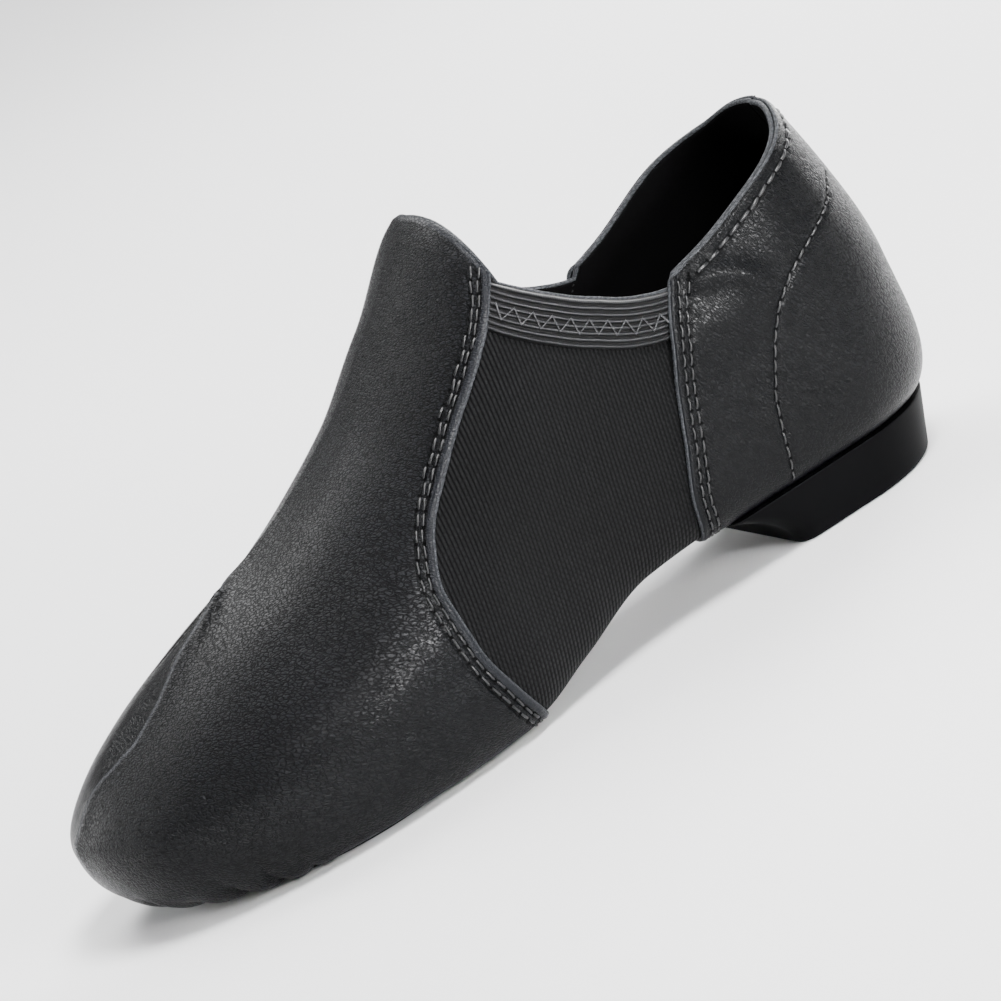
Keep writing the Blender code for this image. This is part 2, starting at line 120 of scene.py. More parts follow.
def smooth(places, values, at):
    """Curve through a table's points that never swings past them."""
    places, values, at = np.asarray(places, float), np.asarray(values, float), np.asarray(at, float)
    step = np.diff(places)
    rise = np.diff(values) / step
    slope = np.concatenate(([rise[0]], np.zeros(len(rise) - 1), [rise[-1]]))
    bends = rise[:-1] * rise[1:] > 0
    slope[1:-1][bends] = 2 * rise[:-1][bends] * rise[1:][bends] / (rise[:-1] + rise[1:])[bends]
    i = np.clip(np.searchsorted(places, at) - 1, 0, len(step) - 1)
    t = np.clip((at - places[i]) / step[i], 0, 1)
    start = (1 + 2 * t) * (1 - t) ** 2 * values[i] + t * (1 - t) ** 2 * step[i] * slope[i]
    end = t * t * (3 - 2 * t) * values[i + 1] - t * t * (1 - t) * step[i] * slope[i + 1]
    return start + end


def column(name, x):
    return smooth(TABLE["place"], TABLE[name], np.asarray(x) / LENGTH)


def base_height(x):
    return PAD_PROUD + (SEAT - PAD_PROUD) * column("base", x)


def top_height(x):
    return BACK_HEIGHT * column("leg", x) + THROAT_HEIGHT * column("ridge", x)


def middle_line(x):
    ahead = np.clip((x - BALL_PLACE) / (LENGTH - BALL_PLACE), 0, 1)
    return -TOE_TURN * ahead ** 2


def ridge_line(x):
    run = np.clip((x - THROAT_PLACE) / (BALL_PLACE - THROAT_PLACE), 0, 1)
    return middle_line(x) - RIDGE_SHIFT * np.sin(np.pi * run)


def outline(side, along):
    """Plan of the widest line. along runs from 0 at the heel's back to 1 at the toe's tip."""
    ball = BALL_PLACE - side * BALL_SKEW
    name = "outer" if side >= 0 else "inner"
    back = np.clip(along / HEEL_END, 0, 1) * np.pi / 2
    front = np.clip((along - TOE_START) / (1 - TOE_START), 0, 1) * np.pi / 2
    run = np.clip((along - HEEL_END) / (TOE_START - HEEL_END), 0, 1)
    side_x = HEEL_CENTRE + (BALL_PLACE - HEEL_CENTRE) * run - side * BALL_SKEW * run ** 3
    half = BALL_WIDTH * column(name, side_x)
    x = side_x - HEEL_CENTRE * np.cos(back) * (run == 0)
    x += (LENGTH - ball) * np.sin(front) ** (2 / TOE_BLUNT)
    tip = middle_line(LENGTH)
    y = side * half * np.sin(back)
    if front > 0:
        y = tip + (side * half - tip) * np.cos(front).clip(0) ** (2 / TOE_BLUNT)
    return np.array([x, y])


def gone_along(path):
    """How far along a path each of its points lies."""
    return np.concatenate(([0], np.cumsum(np.linalg.norm(np.diff(path, axis=0), axis=1))))


def at_lengths(path, wanted):
    gone = gone_along(path)
    return np.stack([np.interp(wanted, gone, path[:, k]) for k in range(3)], axis=1)


def by_length(path, count):
    """The same line as count + 1 points, an equal length apart."""
    return at_lengths(path, np.linspace(0, gone_along(path)[-1], count + 1))


def rib(side, along):
    """One section: sole's middle (0), edge of its flat underside (1), widest line (2), top (3)."""
    place = outline(0, along)[0]
    edge = outline(side, along)
    rooted = max(place, HEEL_CENTRE)
    crown_x = rooted + LENGTH * column("lean", place)
    root_x = rooted + LENGTH * column("draw", place)
    crown = np.array([crown_x, ridge_line(crown_x)])
    root = np.array([root_x, middle_line(root_x)])
    wide = THROAT_HEIGHT * column("wide", place)
    seat, side_power = column("seat", place), column("side", place)
    crest_power, corner_power = column("crest", place), column("corner", place)
    turn = np.linspace(0, np.pi / 2, FINE)
    sine, cosine = np.sin(turn), np.cos(turn).clip(0)

    def points(end, out, height):
        plan = end + np.outer(out, edge - end)
        return np.column_stack([plan, height(plan[:, 0])])

    flat = points(root, seat * np.linspace(0, 1, FINE), base_height)
    lower = points(root, seat + (1 - seat) * sine,
                   lambda x: wide - (wide - base_height(x)) * cosine ** (2 / corner_power))
    upper = points(crown, cosine ** (2 / side_power),
                   lambda x: wide + (top_height(x) - wide) * sine ** (2 / crest_power))
    zones = [by_length(zone, ZONE) for zone in (flat, lower, upper)]
    return np.concatenate([zones[0][:-1], zones[1][:-1], zones[2]])


FORM = {side: np.array([rib(side, i / AROUND) for i in range(AROUND + 1)]) for side in SIDES}


def spot(side, along, up):
    """Points of the form at places along the shoe (0 to 1) and up its sections (0 to 3)."""
    a, b = np.clip(along, 0, 1) * AROUND, np.clip(up, 0, 3) * ZONE
    i, j = np.minimum(np.int_(a), AROUND - 1), np.minimum(np.int_(b), 3 * ZONE - 1)
    s, t = np.expand_dims(a - i, -1), np.expand_dims(b - j, -1)
    form = FORM[side]
    near = form[i, j] * (1 - t) + form[i, j + 1] * t
    far = form[i + 1, j] * (1 - t) + form[i + 1, j + 1] * t
    return near * (1 - s) + far * s


def band_edge(x):
    run = np.clip((x - DIP_PLACE) / (THROAT_PLACE - DIP_PLACE), 0, None)
    return DIP_HEIGHT + (THROAT_EDGE - DIP_HEIGHT) * run ** BAND_SAG


def topline(side, x):
    places, shares = zip(*COLLAR)
    collar = DIP_HEIGHT + (BACK_HEIGHT - DIP_HEIGHT) * smooth(places, shares, x / DIP_PLACE)
    if side < 0:
        collar += COLLAR_LIFT * np.sin(np.pi * np.clip(x / DIP_PLACE, 0, 1)) ** 2
    return np.where(x < DIP_PLACE, collar, band_edge(x))


def vamp_edge(z):
    heights, places = zip(*VAMP_EDGE)
    return LENGTH * smooth(heights, places, z / THROAT_EDGE)


def counter_edge(z):
    heights, places = zip(*COUNTER_EDGE)
    return DIP_PLACE * smooth(heights, places, z / DIP_HEIGHT)


def crossing(values, places):
    i = int(np.argmax(values[1:] >= 0))
    return places[i] + (places[i + 1] - places[i]) * values[i] / (values[i] - values[i + 1])


def search(side, x, along, up_at):
    """Place along and up the form of the point at x, where up_at tells how far up it lies."""
    for _ in range(SEARCH_STEPS):
        up = up_at(along)
        along += ALONG_PER_LENGTH * (x - spot(side, along, up)[0])
    return along, up


def find(side, x, z):
    """Place along and up the form of a point that the side view shows at x, z, above the widest line."""
    ups = np.linspace(2, 3, ZONE + 1)
    return search(side, x, HEEL_END + ALONG_PER_LENGTH * (x - HEEL_CENTRE),
                  lambda along: np.interp(z, spot(side, along, ups)[:, 2], ups))


THROAT_ALONG = find(1, THROAT_PLACE, THROAT_EDGE)[0]
DIP_ALONG = find(1, DIP_PLACE, DIP_HEIGHT)[0]


def collar_up(side, along):
    ups = np.linspace(2, 3, 2 * ZONE)
    points = spot(side, min(along, THROAT_ALONG), ups)
    edge = crossing(points[:, 2] - topline(side, points[:, 0]), ups)
    ahead = max(0, along - THROAT_ALONG) / (1 - THROAT_ALONG)
    return edge + (TOE_UP - edge) * ahead


ALONGS = np.linspace(0, 1, AROUND + 1)
COLLAR_UPS = {side: np.array([collar_up(side, along) for along in ALONGS]) for side in SIDES}


def on_form(side, along, row):
    """Rows 0 to 2 follow the form, 2 to 3 reach the topline, and 3 to 4 the ridge of the vamp."""
    edge = np.interp(along, ALONGS, COLLAR_UPS[side])
    up = np.minimum(row, 2) + (edge - 2) * np.clip(row - 2, 0, 1) + (3 - edge) * np.clip(row - 3, 0, 1)
    return spot(side, along, up)


EDGE_ROWS = np.linspace(0, 3, 91)


def edge_line(side, edge, last):
    """Where along the shoe a panel's edge crosses each of the rows."""
    alongs = np.linspace(HEEL_END, (1 + TOE_START) / 2, 400)
    found = []
    for row in EDGE_ROWS[:-1]:
        points = on_form(side, alongs, row)
        found.append(crossing(points[:, 0] - edge(points[:, 2]), alongs))
    return np.array(found + [last])


VAMP_START = {side: edge_line(side, vamp_edge, THROAT_ALONG) for side in SIDES}
COUNTER_END = {side: edge_line(side, counter_edge, DIP_ALONG) for side in SIDES}


def runs(ends, counts):
    """Even steps between the listed ends."""
    parts = [np.linspace(a, b, n + 1)[:-1] for a, b, n in zip(ends, ends[1:], counts)]
    return np.concatenate(parts + [np.array(ends[-1:])])


# Meshes

SEW_REACH = 0.01 * MM
STEP = 0.25 * MM


def show(name, data):
    piece = bpy.data.objects.new(name, data)
    bpy.context.scene.collection.objects.link(piece)
    return piece


def mesh_object(name, points, faces):
    mesh = bpy.data.meshes.new(name)
    mesh.from_pydata([tuple(p) for p in points], [], [tuple(int(i) for i in f) for f in faces])
    return show(name, mesh)


def vectors(parts, key):
    values = np.zeros(len(parts) * 3, np.float32)
    parts.foreach_get(key, values)
    return values.reshape(-1, 3).astype(float)


def corners_and_normals(mesh):
    return vectors(mesh.vertices, "co"), vectors(mesh.vertex_normals, "vector")


def set_corners(mesh, points):
    mesh.vertices.foreach_set("co", np.asarray(points, np.float32).ravel())
    mesh.update()


def quads_of(index):
    """Four-cornered faces between the points of a grid."""
    return np.stack([index[:-1, :-1], index[:-1, 1:], index[1:, 1:], index[1:, :-1]], axis=-1)


def rework(piece, change):
    """Changes a piece's mesh with bmesh, and shades it smooth."""
    bm = bmesh.new()
    bm.from_mesh(piece.data)
    change(bm)
    bm.to_mesh(piece.data)
    bm.free()
    piece.data.shade_smooth()
    return piece


def sew(bm):
    bmesh.ops.remove_doubles(bm, verts=bm.verts, dist=SEW_REACH)
    bmesh.ops.delete(bm, geom=[vert for vert in bm.verts if not vert.link_faces], context="VERTS")


def form_sheet(name, rows, marks, along_of, chosen=None, place_of=on_form):
    """Both sides' patches of the form over rows and marks, sewn together, with faces looking out."""
    points, faces = [], []
    row, mark = np.meshgrid(rows, marks, indexing="ij")
    wanted = np.ones((len(rows) - 1, len(marks) - 1), bool)
    if chosen is not None:
        wanted = chosen(row[:-1, :-1], mark[:-1, :-1])
    for i, side in enumerate(SIDES):
        points.append(place_of(side, along_of(side, row, mark), row).reshape(-1, 3) - MIDDLE)
        quads = quads_of(i * row.size + np.arange(row.size).reshape(row.shape))
        faces.append((quads[..., ::-1] if side > 0 else quads)[wanted])
    return rework(mesh_object(name, np.concatenate(points), np.concatenate(faces)), sew)


def apply(piece):
    """Turns the evaluated piece into its plain mesh."""
    bpy.context.view_layer.update()
    evaluated = piece.evaluated_get(bpy.context.evaluated_depsgraph_get())
    mesh = bpy.data.meshes.new_from_object(evaluated)
    piece.modifiers.clear()
    piece.data = mesh
    return piece


def thicken(piece, depth, thickness, lining=0):
    """Makes a sheet a layer of the given thickness, at a depth under it."""
    layer = piece.modifiers.new("Layer", "SOLIDIFY")
    layer.thickness = thickness
    layer.offset = -1 - 2 * depth / thickness
    layer.use_even_offset = True
    layer.material_offset = lining
    apply(piece)


def line_points(side, rows, along_of):
    return np.array([on_form(side, along_of(side, row), row) for row in rows]) - MIDDLE


class Surface:
    """A finished sheet that lines, beads and stitches are laid on."""

    def __init__(self, mesh):
        points, self.normals = corners_and_normals(mesh)
        mesh.calc_loop_triangles()
        corners = [tuple(t.vertices) for t in mesh.loop_triangles]
        self.tree = BVHTree.FromPolygons([tuple(p) for p in points], corners)
        self.near = tree_of(points)

    def lay(self, path):
        """The path drawn to the surface, and the surface's normals along it."""
        places, normals = [], []
        for point in path:
            place = self.tree.find_nearest(tuple(point))[0]
            close = self.near.find_n(place, 4)
            weights = [1 / (gap + 0.05 * MM) for _, _, gap in close]
            normal = sum(self.normals[i] * w for (_, i, _), w in zip(close, weights))
            places.append(tuple(place))
            normals.append(normal / np.linalg.norm(normal))
        return np.array(places), np.array(normals)

    def beside(self, path, distance, towards):
        """The path moved over the surface by a distance, to the side that faces a given point."""
        places, normals = self.lay(path)
        tangents = np.gradient(places, axis=0)
        across = np.cross(normals, tangents)
        across /= np.linalg.norm(across, axis=1)[:, None]
        middle = len(places) // 2
        if np.dot(across[middle], np.asarray(towards) - places[middle]) < 0:
            across = -across
        return self.lay(places + across * distance)


def tree_of(points):
    tree = kdtree.KDTree(len(points))
    for i, point in enumerate(points):
        tree.insert(tuple(point), i)
    tree.balance()
    return tree


def distance_to(points, path, reach, normals=None):
    """Each point's distance from a finely stepped path, and how far along the path it lies.

    With normals, the distance is below 0 on the path's other side."""
    fine = by_length(path, max(2, int(path_length(path) / STEP)))
    gone = np.linspace(0, path_length(path), len(fine))
    ahead = np.gradient(fine, axis=0)
    tree = tree_of(fine)
    gaps, places = np.full(len(points), reach), np.zeros(len(points))
    low, high = fine.min(axis=0) - reach, fine.max(axis=0) + reach
    for i in np.nonzero(np.all((points > low) & (points < high), axis=1))[0]:
        near, index, gap = tree.find(tuple(points[i]))
        gaps[i], places[i] = min(gap, reach), gone[index]
        if normals is not None and np.dot(np.cross(normals[i], ahead[index]), points[i] - near) < 0:
            gaps[i] = -gaps[i]
    return gaps, places


def keep(mesh, label, values):
    """Stores a value per corner of the sheet, for its material."""
    layer = mesh.attributes.new(label, "FLOAT", "POINT")
    layer.data.foreach_set("value", np.asarray(values, np.float32))


def stitch_places(path, pitch):
    """Points a stitch apart along a path, between the needle's holes."""
    return at_lengths(path, np.arange(1, int(path_length(path) / pitch) + 1) * pitch)


def path_length(path):
    return float(np.linalg.norm(np.diff(path, axis=0), axis=1).sum())


def bump_line(gaps, width):
    return np.exp(-(gaps / width) ** 2)


def step_up(values, low, high):
    share = np.clip((values - low) / (high - low), 0, 1)
    return share * share * (3 - 2 * share)


def waves(points, size, seed):
    """Soft uneven swelling between -1 and 1, the same at every run."""
    dice = np.random.default_rng(seed)
    total = np.zeros(len(points))
    for _ in range(9):
        direction = dice.normal(size=3)
        direction /= np.linalg.norm(direction)
        phase = dice.uniform(0, 2 * np.pi)
        scale = size * dice.uniform(0.7, 1.5)
        total += np.sin(2 * np.pi * points @ direction / scale + phase)
    return total / 4


# Node trees

class Value:
    """A node's output that reckons like a number: each sum becomes a node of the same tree."""

    def __init__(self, socket):
        self.socket, self.tree = socket, socket.id_data

    def __add__(self, other):
        return math("ADD", self, other)

    def __sub__(self, other):
        return math("SUBTRACT", self, other)

    def __rsub__(self, other):
        return math("SUBTRACT", other, self)

    def __mul__(self, other):
        return math("MULTIPLY", self, other)

    def __truediv__(self, other):
        return math("DIVIDE", self, other)

    def __rtruediv__(self, other):
        return math("DIVIDE", other, self)

    def __mod__(self, other):
        return math("MODULO", self, other)

    def __pow__(self, other):
        return math("POWER", self, other)

    def __abs__(self):
        return math("ABSOLUTE", self)


class Made:
    """A node that gives its outputs as values."""

    def __init__(self, node):
        self.node = node

    def __getitem__(self, key):
        return Value(self.node.outputs[key])


def fill(node, inputs):
    """Sets a node's inputs to plain values, or joins them to the outputs of other nodes."""
    for key, value in inputs.items():
        if isinstance(value, Value):
            node.id_data.links.new(value.socket, node.inputs[key])
        else:
            node.inputs[key].default_value = value


def add(tree, kind, inputs=None, **settings):
    node = tree.nodes.new(kind)
    for key, value in settings.items():
        setattr(node, key, value)
    fill(node, inputs or {})
    return Made(node)


def math(operation, *values):
    tree = next(value.tree for value in values if isinstance(value, Value))
    return add(tree, "ShaderNodeMath", dict(enumerate(values)), operation=operation)[0]


def vector(operation, first, *second):
    inputs = dict(zip((0, "Scale" if operation == "SCALE" else 1), (first, *second)))
    node = add(first.tree, "ShaderNodeVectorMath", inputs, operation=operation)
    return node["Value" if operation == "DOT_PRODUCT" else "Vector"]


def xyz(tree, **parts):
    return add(tree, "ShaderNodeCombineXYZ", parts)[0]


FLOAT, VECTOR = "NodeSocketFloat", "NodeSocketVector"
GEOMETRY, MATERIAL, WHOLE = "NodeSocketGeometry", "NodeSocketMaterial", "NodeSocketInt"


def group(kind, name, inputs, outputs):
    """An empty group with named sockets: its tree, and its inputs by name."""
    tree = bpy.data.node_groups.new(name, kind)
    for label, socket, value in inputs:
        made = tree.interface.new_socket(label, in_out="INPUT", socket_type=socket)
        if value is not None:
            made.default_value = value
    for label, socket in outputs:
        tree.interface.new_socket(label, in_out="OUTPUT", socket_type=socket)
    start = tree.nodes.new("NodeGroupInput")
    return tree, {socket.name: Value(socket) for socket in start.outputs if socket.name}


def geometry_group(name, inputs):
    """A geometry group whose last input is the material of what it makes."""
    ends = ("Geometry", GEOMETRY, None), ("Material", MATERIAL, None)
    return group("GeometryNodeTree", name, [ends[0], *inputs, ends[1]], [("Geometry", GEOMETRY)])


def end(tree, **results):
    fill(tree.nodes.new("NodeGroupOutput"), results)
    return tree


def made_of(geometry, material):
    return add(geometry.tree, "GeometryNodeSetMaterial", {"Geometry": geometry, "Material": material})[0]


def finish_geometry(geometry, material):
    tree = geometry.tree
    real = add(tree, "GeometryNodeRealizeInstances", {"Geometry": geometry})[0]
    even = add(tree, "GeometryNodeSetShadeSmooth", {"Geometry": real})[0]
    return end(tree, Geometry=made_of(even, material))


def curve_of(given):
    return add(given["Geometry"].tree, "GeometryNodeMeshToCurve", {"Mesh": given["Geometry"]})[0]


def lean_of(tree):
    """The surface's normal, kept on the line that a thread follows."""
    return add(tree, "GeometryNodeInputNamedAttribute", {"Name": "lean"},
               data_type="FLOAT_VECTOR")["Attribute"]


def tube(curve, radius, sides=6):
    ring = add(curve.tree, "GeometryNodeCurvePrimitiveCircle", {"Resolution": sides, "Radius": radius})[0]
    return add(curve.tree, "GeometryNodeCurveToMesh",
               {"Curve": curve, "Profile Curve": ring, "Fill Caps": True})[0]


def stitch_tree():
    """Short arched threads along a line, standing on the surface that the line lies on."""
    tree, given = geometry_group("Stitch row", [
        ("Length", FLOAT, 2 * MM), ("Thread", FLOAT, 0.3 * MM), ("Proud", FLOAT, 0.2 * MM),
        ("Wander", FLOAT, 0.1), ("Seed", WHOLE, 1)])
    rows = add(tree, "GeometryNodeCurveToPoints", {"Curve": curve_of(given)}, mode="EVALUATED")
    turn = add(tree, "FunctionNodeAxesToRotation",
               {"Primary Axis": rows["Tangent"], "Secondary Axis": lean_of(tree)},
               primary_axis="X", secondary_axis="Z")[0]
    sway = add(tree, "FunctionNodeRandomValue", {
        "Min": given["Wander"] * -1.0, "Max": given["Wander"], "Seed": given["Seed"]}, data_type="FLOAT")[1]
    spin = add(tree, "FunctionNodeEulerToRotation", {"Euler": xyz(tree, Z=sway)})[0]
    both = add(tree, "FunctionNodeRotateRotation", {"Rotation": turn, "Rotate By": spin},
               rotation_space="LOCAL")[0]
    half, sunk, peak = given["Length"] * 0.5, given["Thread"] * -0.8, given["Proud"] * 2.2
    arch = add(tree, "GeometryNodeCurveQuadraticBezier", {
        "Resolution": 5, "Start": xyz(tree, X=half * -1.0, Z=sunk), "Middle": xyz(tree, Z=peak),
        "End": xyz(tree, X=half, Z=sunk)})[0]
    placed = add(tree, "GeometryNodeInstanceOnPoints", {
        "Points": rows["Points"], "Instance": tube(arch, given["Thread"]), "Rotation": both})[0]
    return finish_geometry(placed, given["Material"])


def zigzag_tree():
    """One thread that runs from side to side along a line."""
    tree, given = geometry_group("Zigzag thread", [
        ("Half Pitch", FLOAT, 2 * MM), ("Reach", FLOAT, 1.5 * MM), ("Thread", FLOAT, 0.2 * MM),
        ("Proud", FLOAT, 0.2 * MM)])
    rows = add(tree, "GeometryNodeCurveToPoints", {"Curve": curve_of(given), "Length": given["Half Pitch"]},
               mode="LENGTH")
    lean = lean_of(tree)
    across = vector("NORMALIZE", vector("CROSS_PRODUCT", rows["Tangent"], lean))
    odd = add(tree, "GeometryNodeInputIndex")[0] % 2.0
    aside = vector("SCALE", across, (odd * 2.0 - 1.0) * given["Reach"])
    out = vector("SCALE", lean, given["Proud"])
    moved = add(tree, "GeometryNodeSetPosition",
                {"Geometry": rows["Points"], "Offset": vector("ADD", aside, out)})[0]
    joined = add(tree, "GeometryNodePointsToCurves", {"Points": moved})[0]
    return finish_geometry(tube(joined, given["Thread"]), given["Material"])


def roll_tree():
    """A rounded edge that follows a closed line."""
    _, given = geometry_group("Rolled edge", [("Radius", FLOAT, 0.5 * MM), ("Sides", WHOLE, 8)])
    return finish_geometry(tube(curve_of(given), given["Radius"], given["Sides"]), given["Material"])


def stud_tree():
    """Small raised points in offset rows on a face that looks down, kept inside an oval."""
    tree, given = geometry_group("Grip studs", [
        ("Pitch", FLOAT, 2.6 * MM), ("Stud", FLOAT, 2.2 * MM), ("Top", FLOAT, 0.2 * MM),
        ("Height", FLOAT, 0.5 * MM), ("Sides", WHOLE, 6), ("Centre", VECTOR, (0, 0, 0)),
        ("Half Length", FLOAT, 0.03), ("Half Width", FLOAT, 0.02), ("Squareness", FLOAT, 2.0)])
    lane = given["Pitch"] * (3 ** 0.5 / 2)
    count_x = math("ROUND", given["Half Length"] * 2.2 / given["Pitch"])
    count_y = math("ROUND", given["Half Width"] * 2.2 / lane)
    grid = add(tree, "GeometryNodeMeshGrid", {
        "Size X": (count_x - 1.0) * given["Pitch"], "Size Y": (count_y - 1.0) * lane,
        "Vertices X": count_x, "Vertices Y": count_y})["Mesh"]
    place = add(tree, "ShaderNodeSeparateXYZ", {0: add(tree, "GeometryNodeInputPosition")[0]})
    odd = add(tree, "GeometryNodeInputIndex")[0] % count_y % 2.0
    lattice = add(tree, "GeometryNodeSetPosition",
                  {"Geometry": grid, "Offset": xyz(tree, X=odd * (given["Pitch"] * 0.5))})[0]
    along, aside = (abs(place[axis] / given[half]) ** given["Squareness"]
                    for axis, half in enumerate(("Half Length", "Half Width")))
    outside = math("GREATER_THAN", along + aside, 1.0)
    inside = add(tree, "GeometryNodeDeleteGeometry", {"Geometry": lattice, "Selection": outside})[0]
    centred = add(tree, "GeometryNodeSetPosition", {"Geometry": inside, "Offset": given["Centre"]})[0]
    dots = add(tree, "GeometryNodeMeshToPoints", {"Mesh": centred})[0]
    cast = add(tree, "GeometryNodeRaycast",
               {"Target Geometry": given["Geometry"], "Ray Direction": (0, 0, 1), "Ray Length": 1.0})
    facing = add(tree, "ShaderNodeSeparateXYZ", {0: cast["Hit Normal"]})[2]
    away = math("GREATER_THAN", facing, -0.995)
    level = add(tree, "GeometryNodeDeleteGeometry", {"Geometry": dots, "Selection": away})[0]
    seated = add(tree, "GeometryNodeSetPosition", {"Geometry": level, "Position": cast["Hit Position"]})[0]
    stud = add(tree, "GeometryNodeMeshCone", {
        "Vertices": given["Sides"], "Radius Top": given["Top"], "Radius Bottom": given["Stud"] * 0.5,
        "Depth": given["Height"]}, fill_type="NGON")["Mesh"]
    placed = add(tree, "GeometryNodeInstanceOnPoints",
                 {"Points": seated, "Instance": stud, "Rotation": (np.pi, 0, 0)})[0]
    flat = add(tree, "GeometryNodeRealizeInstances", {"Geometry": placed})[0]
    hard = add(tree, "GeometryNodeSetShadeSmooth", {"Geometry": flat, "Shade Smooth": False})[0]
    both = add(tree, "GeometryNodeJoinGeometry", {"Geometry": given["Geometry"]})
    fill(both.node, {0: hard})
    return end(tree, Geometry=made_of(both[0], given["Material"]))


def grow(piece, tree, **values):
    """Runs a tree on a piece with named values, and keeps the result as a plain mesh."""
    modifier = piece.modifiers.new("Grown", "NODES")
    modifier.node_group = tree
    for item in tree.interface.items_tree:
        key = item.name.replace(" ", "_")
        if item.in_out == "INPUT" and key in values:
            modifier[item.identifier] = values[key]
    return apply(piece)


def wire(name, lines, closed=False):
    """A wire of one or more lines, each given as its points and the surface's normals there."""
    edges, start = [], 0
    for places, _ in lines:
        stop = start + len(places)
        edges += [(i, i + 1) for i in range(start, stop - 1)]
        if closed:
            edges.append((stop - 1, start))
        start = stop
    points, normals = (np.concatenate(parts) for parts in zip(*lines))
    mesh = bpy.data.meshes.new(name)
    mesh.from_pydata([tuple(point) for point in points], edges, [])
    layer = mesh.attributes.new("lean", "FLOAT_VECTOR", "POINT")
    layer.data.foreach_set("vector", normals.astype(np.float32).ravel())
    return show(name, mesh)


# Materials

def noise(at, scale, detail, output=0):
    return add(at.tree, "ShaderNodeTexNoise", {"Vector": at, "Scale": scale, "Detail": detail})[output]


def ramp(value, low, high, start=0.0, stop=1.0, soft=False):
    """A value carried from the range low to high over to the range start to stop."""
    return add(value.tree, "ShaderNodeMapRange", {
        "Value": value, "From Min": low, "From Max": high, "To Min": start, "To Max": stop},
        interpolation_type="SMOOTHSTEP" if soft else "LINEAR")[0]


def between(share, low, high):
    return ramp(share, 0.0, 1.0, low, high)


def mixed(share, dark, light):
    """A colour between two, each of them plain or a value."""
    dark, light = (tone if isinstance(tone, Value) else (*tone, 1) for tone in (dark, light))
    return add(share.tree, "ShaderNodeMix", {0: share, 6: dark, 7: light}, data_type="RGBA")[2]


def mark(tree, label):
    """A value that the piece's mesh holds for its material."""
    return add(tree, "ShaderNodeAttribute", attribute_name=label)["Fac"]


def bump(shader, height, depth, strength=1.0):
    fill(shader, {"Normal": add(height.tree, "ShaderNodeBump", {
        "Strength": strength, "Distance": depth, "Height": height})[0]})


def grain_group():
    """Pebbled leather: rounded cells parted by fine creases, finer wrinkles in them, and calmer patches."""
    tree, given = group("ShaderNodeTree", "Leather grain", [
        ("Vector", VECTOR, None), ("Cell", FLOAT, 0.001), ("Warp", FLOAT, 0.5), ("Fine", FLOAT, 0.25)],
        [("Height", FLOAT), ("Crease", FLOAT), ("Patch", FLOAT)])
    scaled = vector("SCALE", given["Vector"], 1.0 / given["Cell"])
    centred = vector("SUBTRACT", noise(scaled, 0.55, 2.0, "Color"), (0.5, 0.5, 0.5))
    bent = vector("ADD", scaled, vector("SCALE", centred, given["Warp"] * 3.0))
    cells = add(tree, "ShaderNodeTexVoronoi", {"Vector": bent, "Scale": 1.0}, feature="DISTANCE_TO_EDGE")
    round_cells = ramp(cells["Distance"], 0.0, 0.25, soft=True)
    fine = ramp(abs(noise(bent, 1.7, 1.5) - 0.5), 0.0, 0.11, soft=True)
    return end(tree, Height=fine * given["Fine"] + round_cells, Crease=1.0 - round_cells,
               Patch=noise(scaled, 0.06, 3.0))


def rib_group():
    """Ribbed cloth: even ribs across a direction, with short floats stepped from rib to rib."""
    tree, given = group("ShaderNodeTree", "Ribbed cloth", [
        ("Vector", VECTOR, None), ("Across", VECTOR, (1, 0, 0)), ("Along", VECTOR, (0, 0, 1)),
        ("Pitch", FLOAT, 0.0011), ("Float", FLOAT, 0.0013)], [("Height", FLOAT), ("Groove", FLOAT)])
    lane = vector("DOT_PRODUCT", given["Vector"], given["Across"]) / given["Pitch"]
    number = math("FLOOR", lane)
    rib = math("SINE", (lane - number) * np.pi)
    run = vector("DOT_PRODUCT", given["Vector"], given["Along"]) / given["Float"]
    floats = math("SINE", math("FRACT", number * 0.37 + run) * np.pi)
    return end(tree, Height=rib * (floats * 0.45 + 0.55), Groove=1.0 - rib)


def seam_group():
    """One row of stitching beside an edge: its sunk line, and the needle's holes in it."""
    tree, given = group("ShaderNodeTree", "Stitch line", [
        ("Gap", FLOAT, 0.0), ("Place", FLOAT, 0.0), ("Row", FLOAT, 0.0022), ("Pitch", FLOAT, 0.003),
        ("Width", FLOAT, 0.0006), ("Hole", FLOAT, 0.0006)], [("Groove", FLOAT), ("Hole", FLOAT)])
    aside = given["Gap"] - given["Row"]
    along = (math("FRACT", given["Place"] / given["Pitch"]) - 0.5) * given["Pitch"]
    from_hole = math("SQRT", along * along + aside * aside)
    return end(tree, Groove=ramp(abs(aside), 0.0, given["Width"], 1.0, 0.0, True),
               Hole=ramp(from_hole, 0.0, given["Hole"], 1.0, 0.0, True))


def wear_group():
    """Slow changes of tone and gloss over a surface, with fine specks."""
    tree, given = group("ShaderNodeTree", "Soft wear", [
        ("Vector", VECTOR, None), ("Size", FLOAT, 0.03)], [("Tone", FLOAT), ("Speck", FLOAT)])
    scaled = vector("SCALE", given["Vector"], 1.0 / given["Size"])
    return end(tree, Tone=noise(scaled, 1.0, 4.0), Speck=ramp(noise(scaled, 40.0, 2.0), 0.62, 0.8))


GRAIN, RIBS, SEAM, WEAR = grain_group(), rib_group(), seam_group(), wear_group()


def material(name):
    made = bpy.data.materials.new(name)
    made.use_nodes = True
    tree = made.node_tree
    return made, tree, tree.nodes["Principled BSDF"], add(tree, "ShaderNodeTexCoord")["Object"]


def use(place, tree, **values):
    """A group's node in a material, with its vector and its values filled in."""
    return add(place.tree, "ShaderNodeGroup", {"Vector": place, **values}, node_tree=tree)


# Colour of the painted highlight along the vamp's crease
CREST_HIGHLIGHT_TONE = (0.050, 0.052, 0.058)
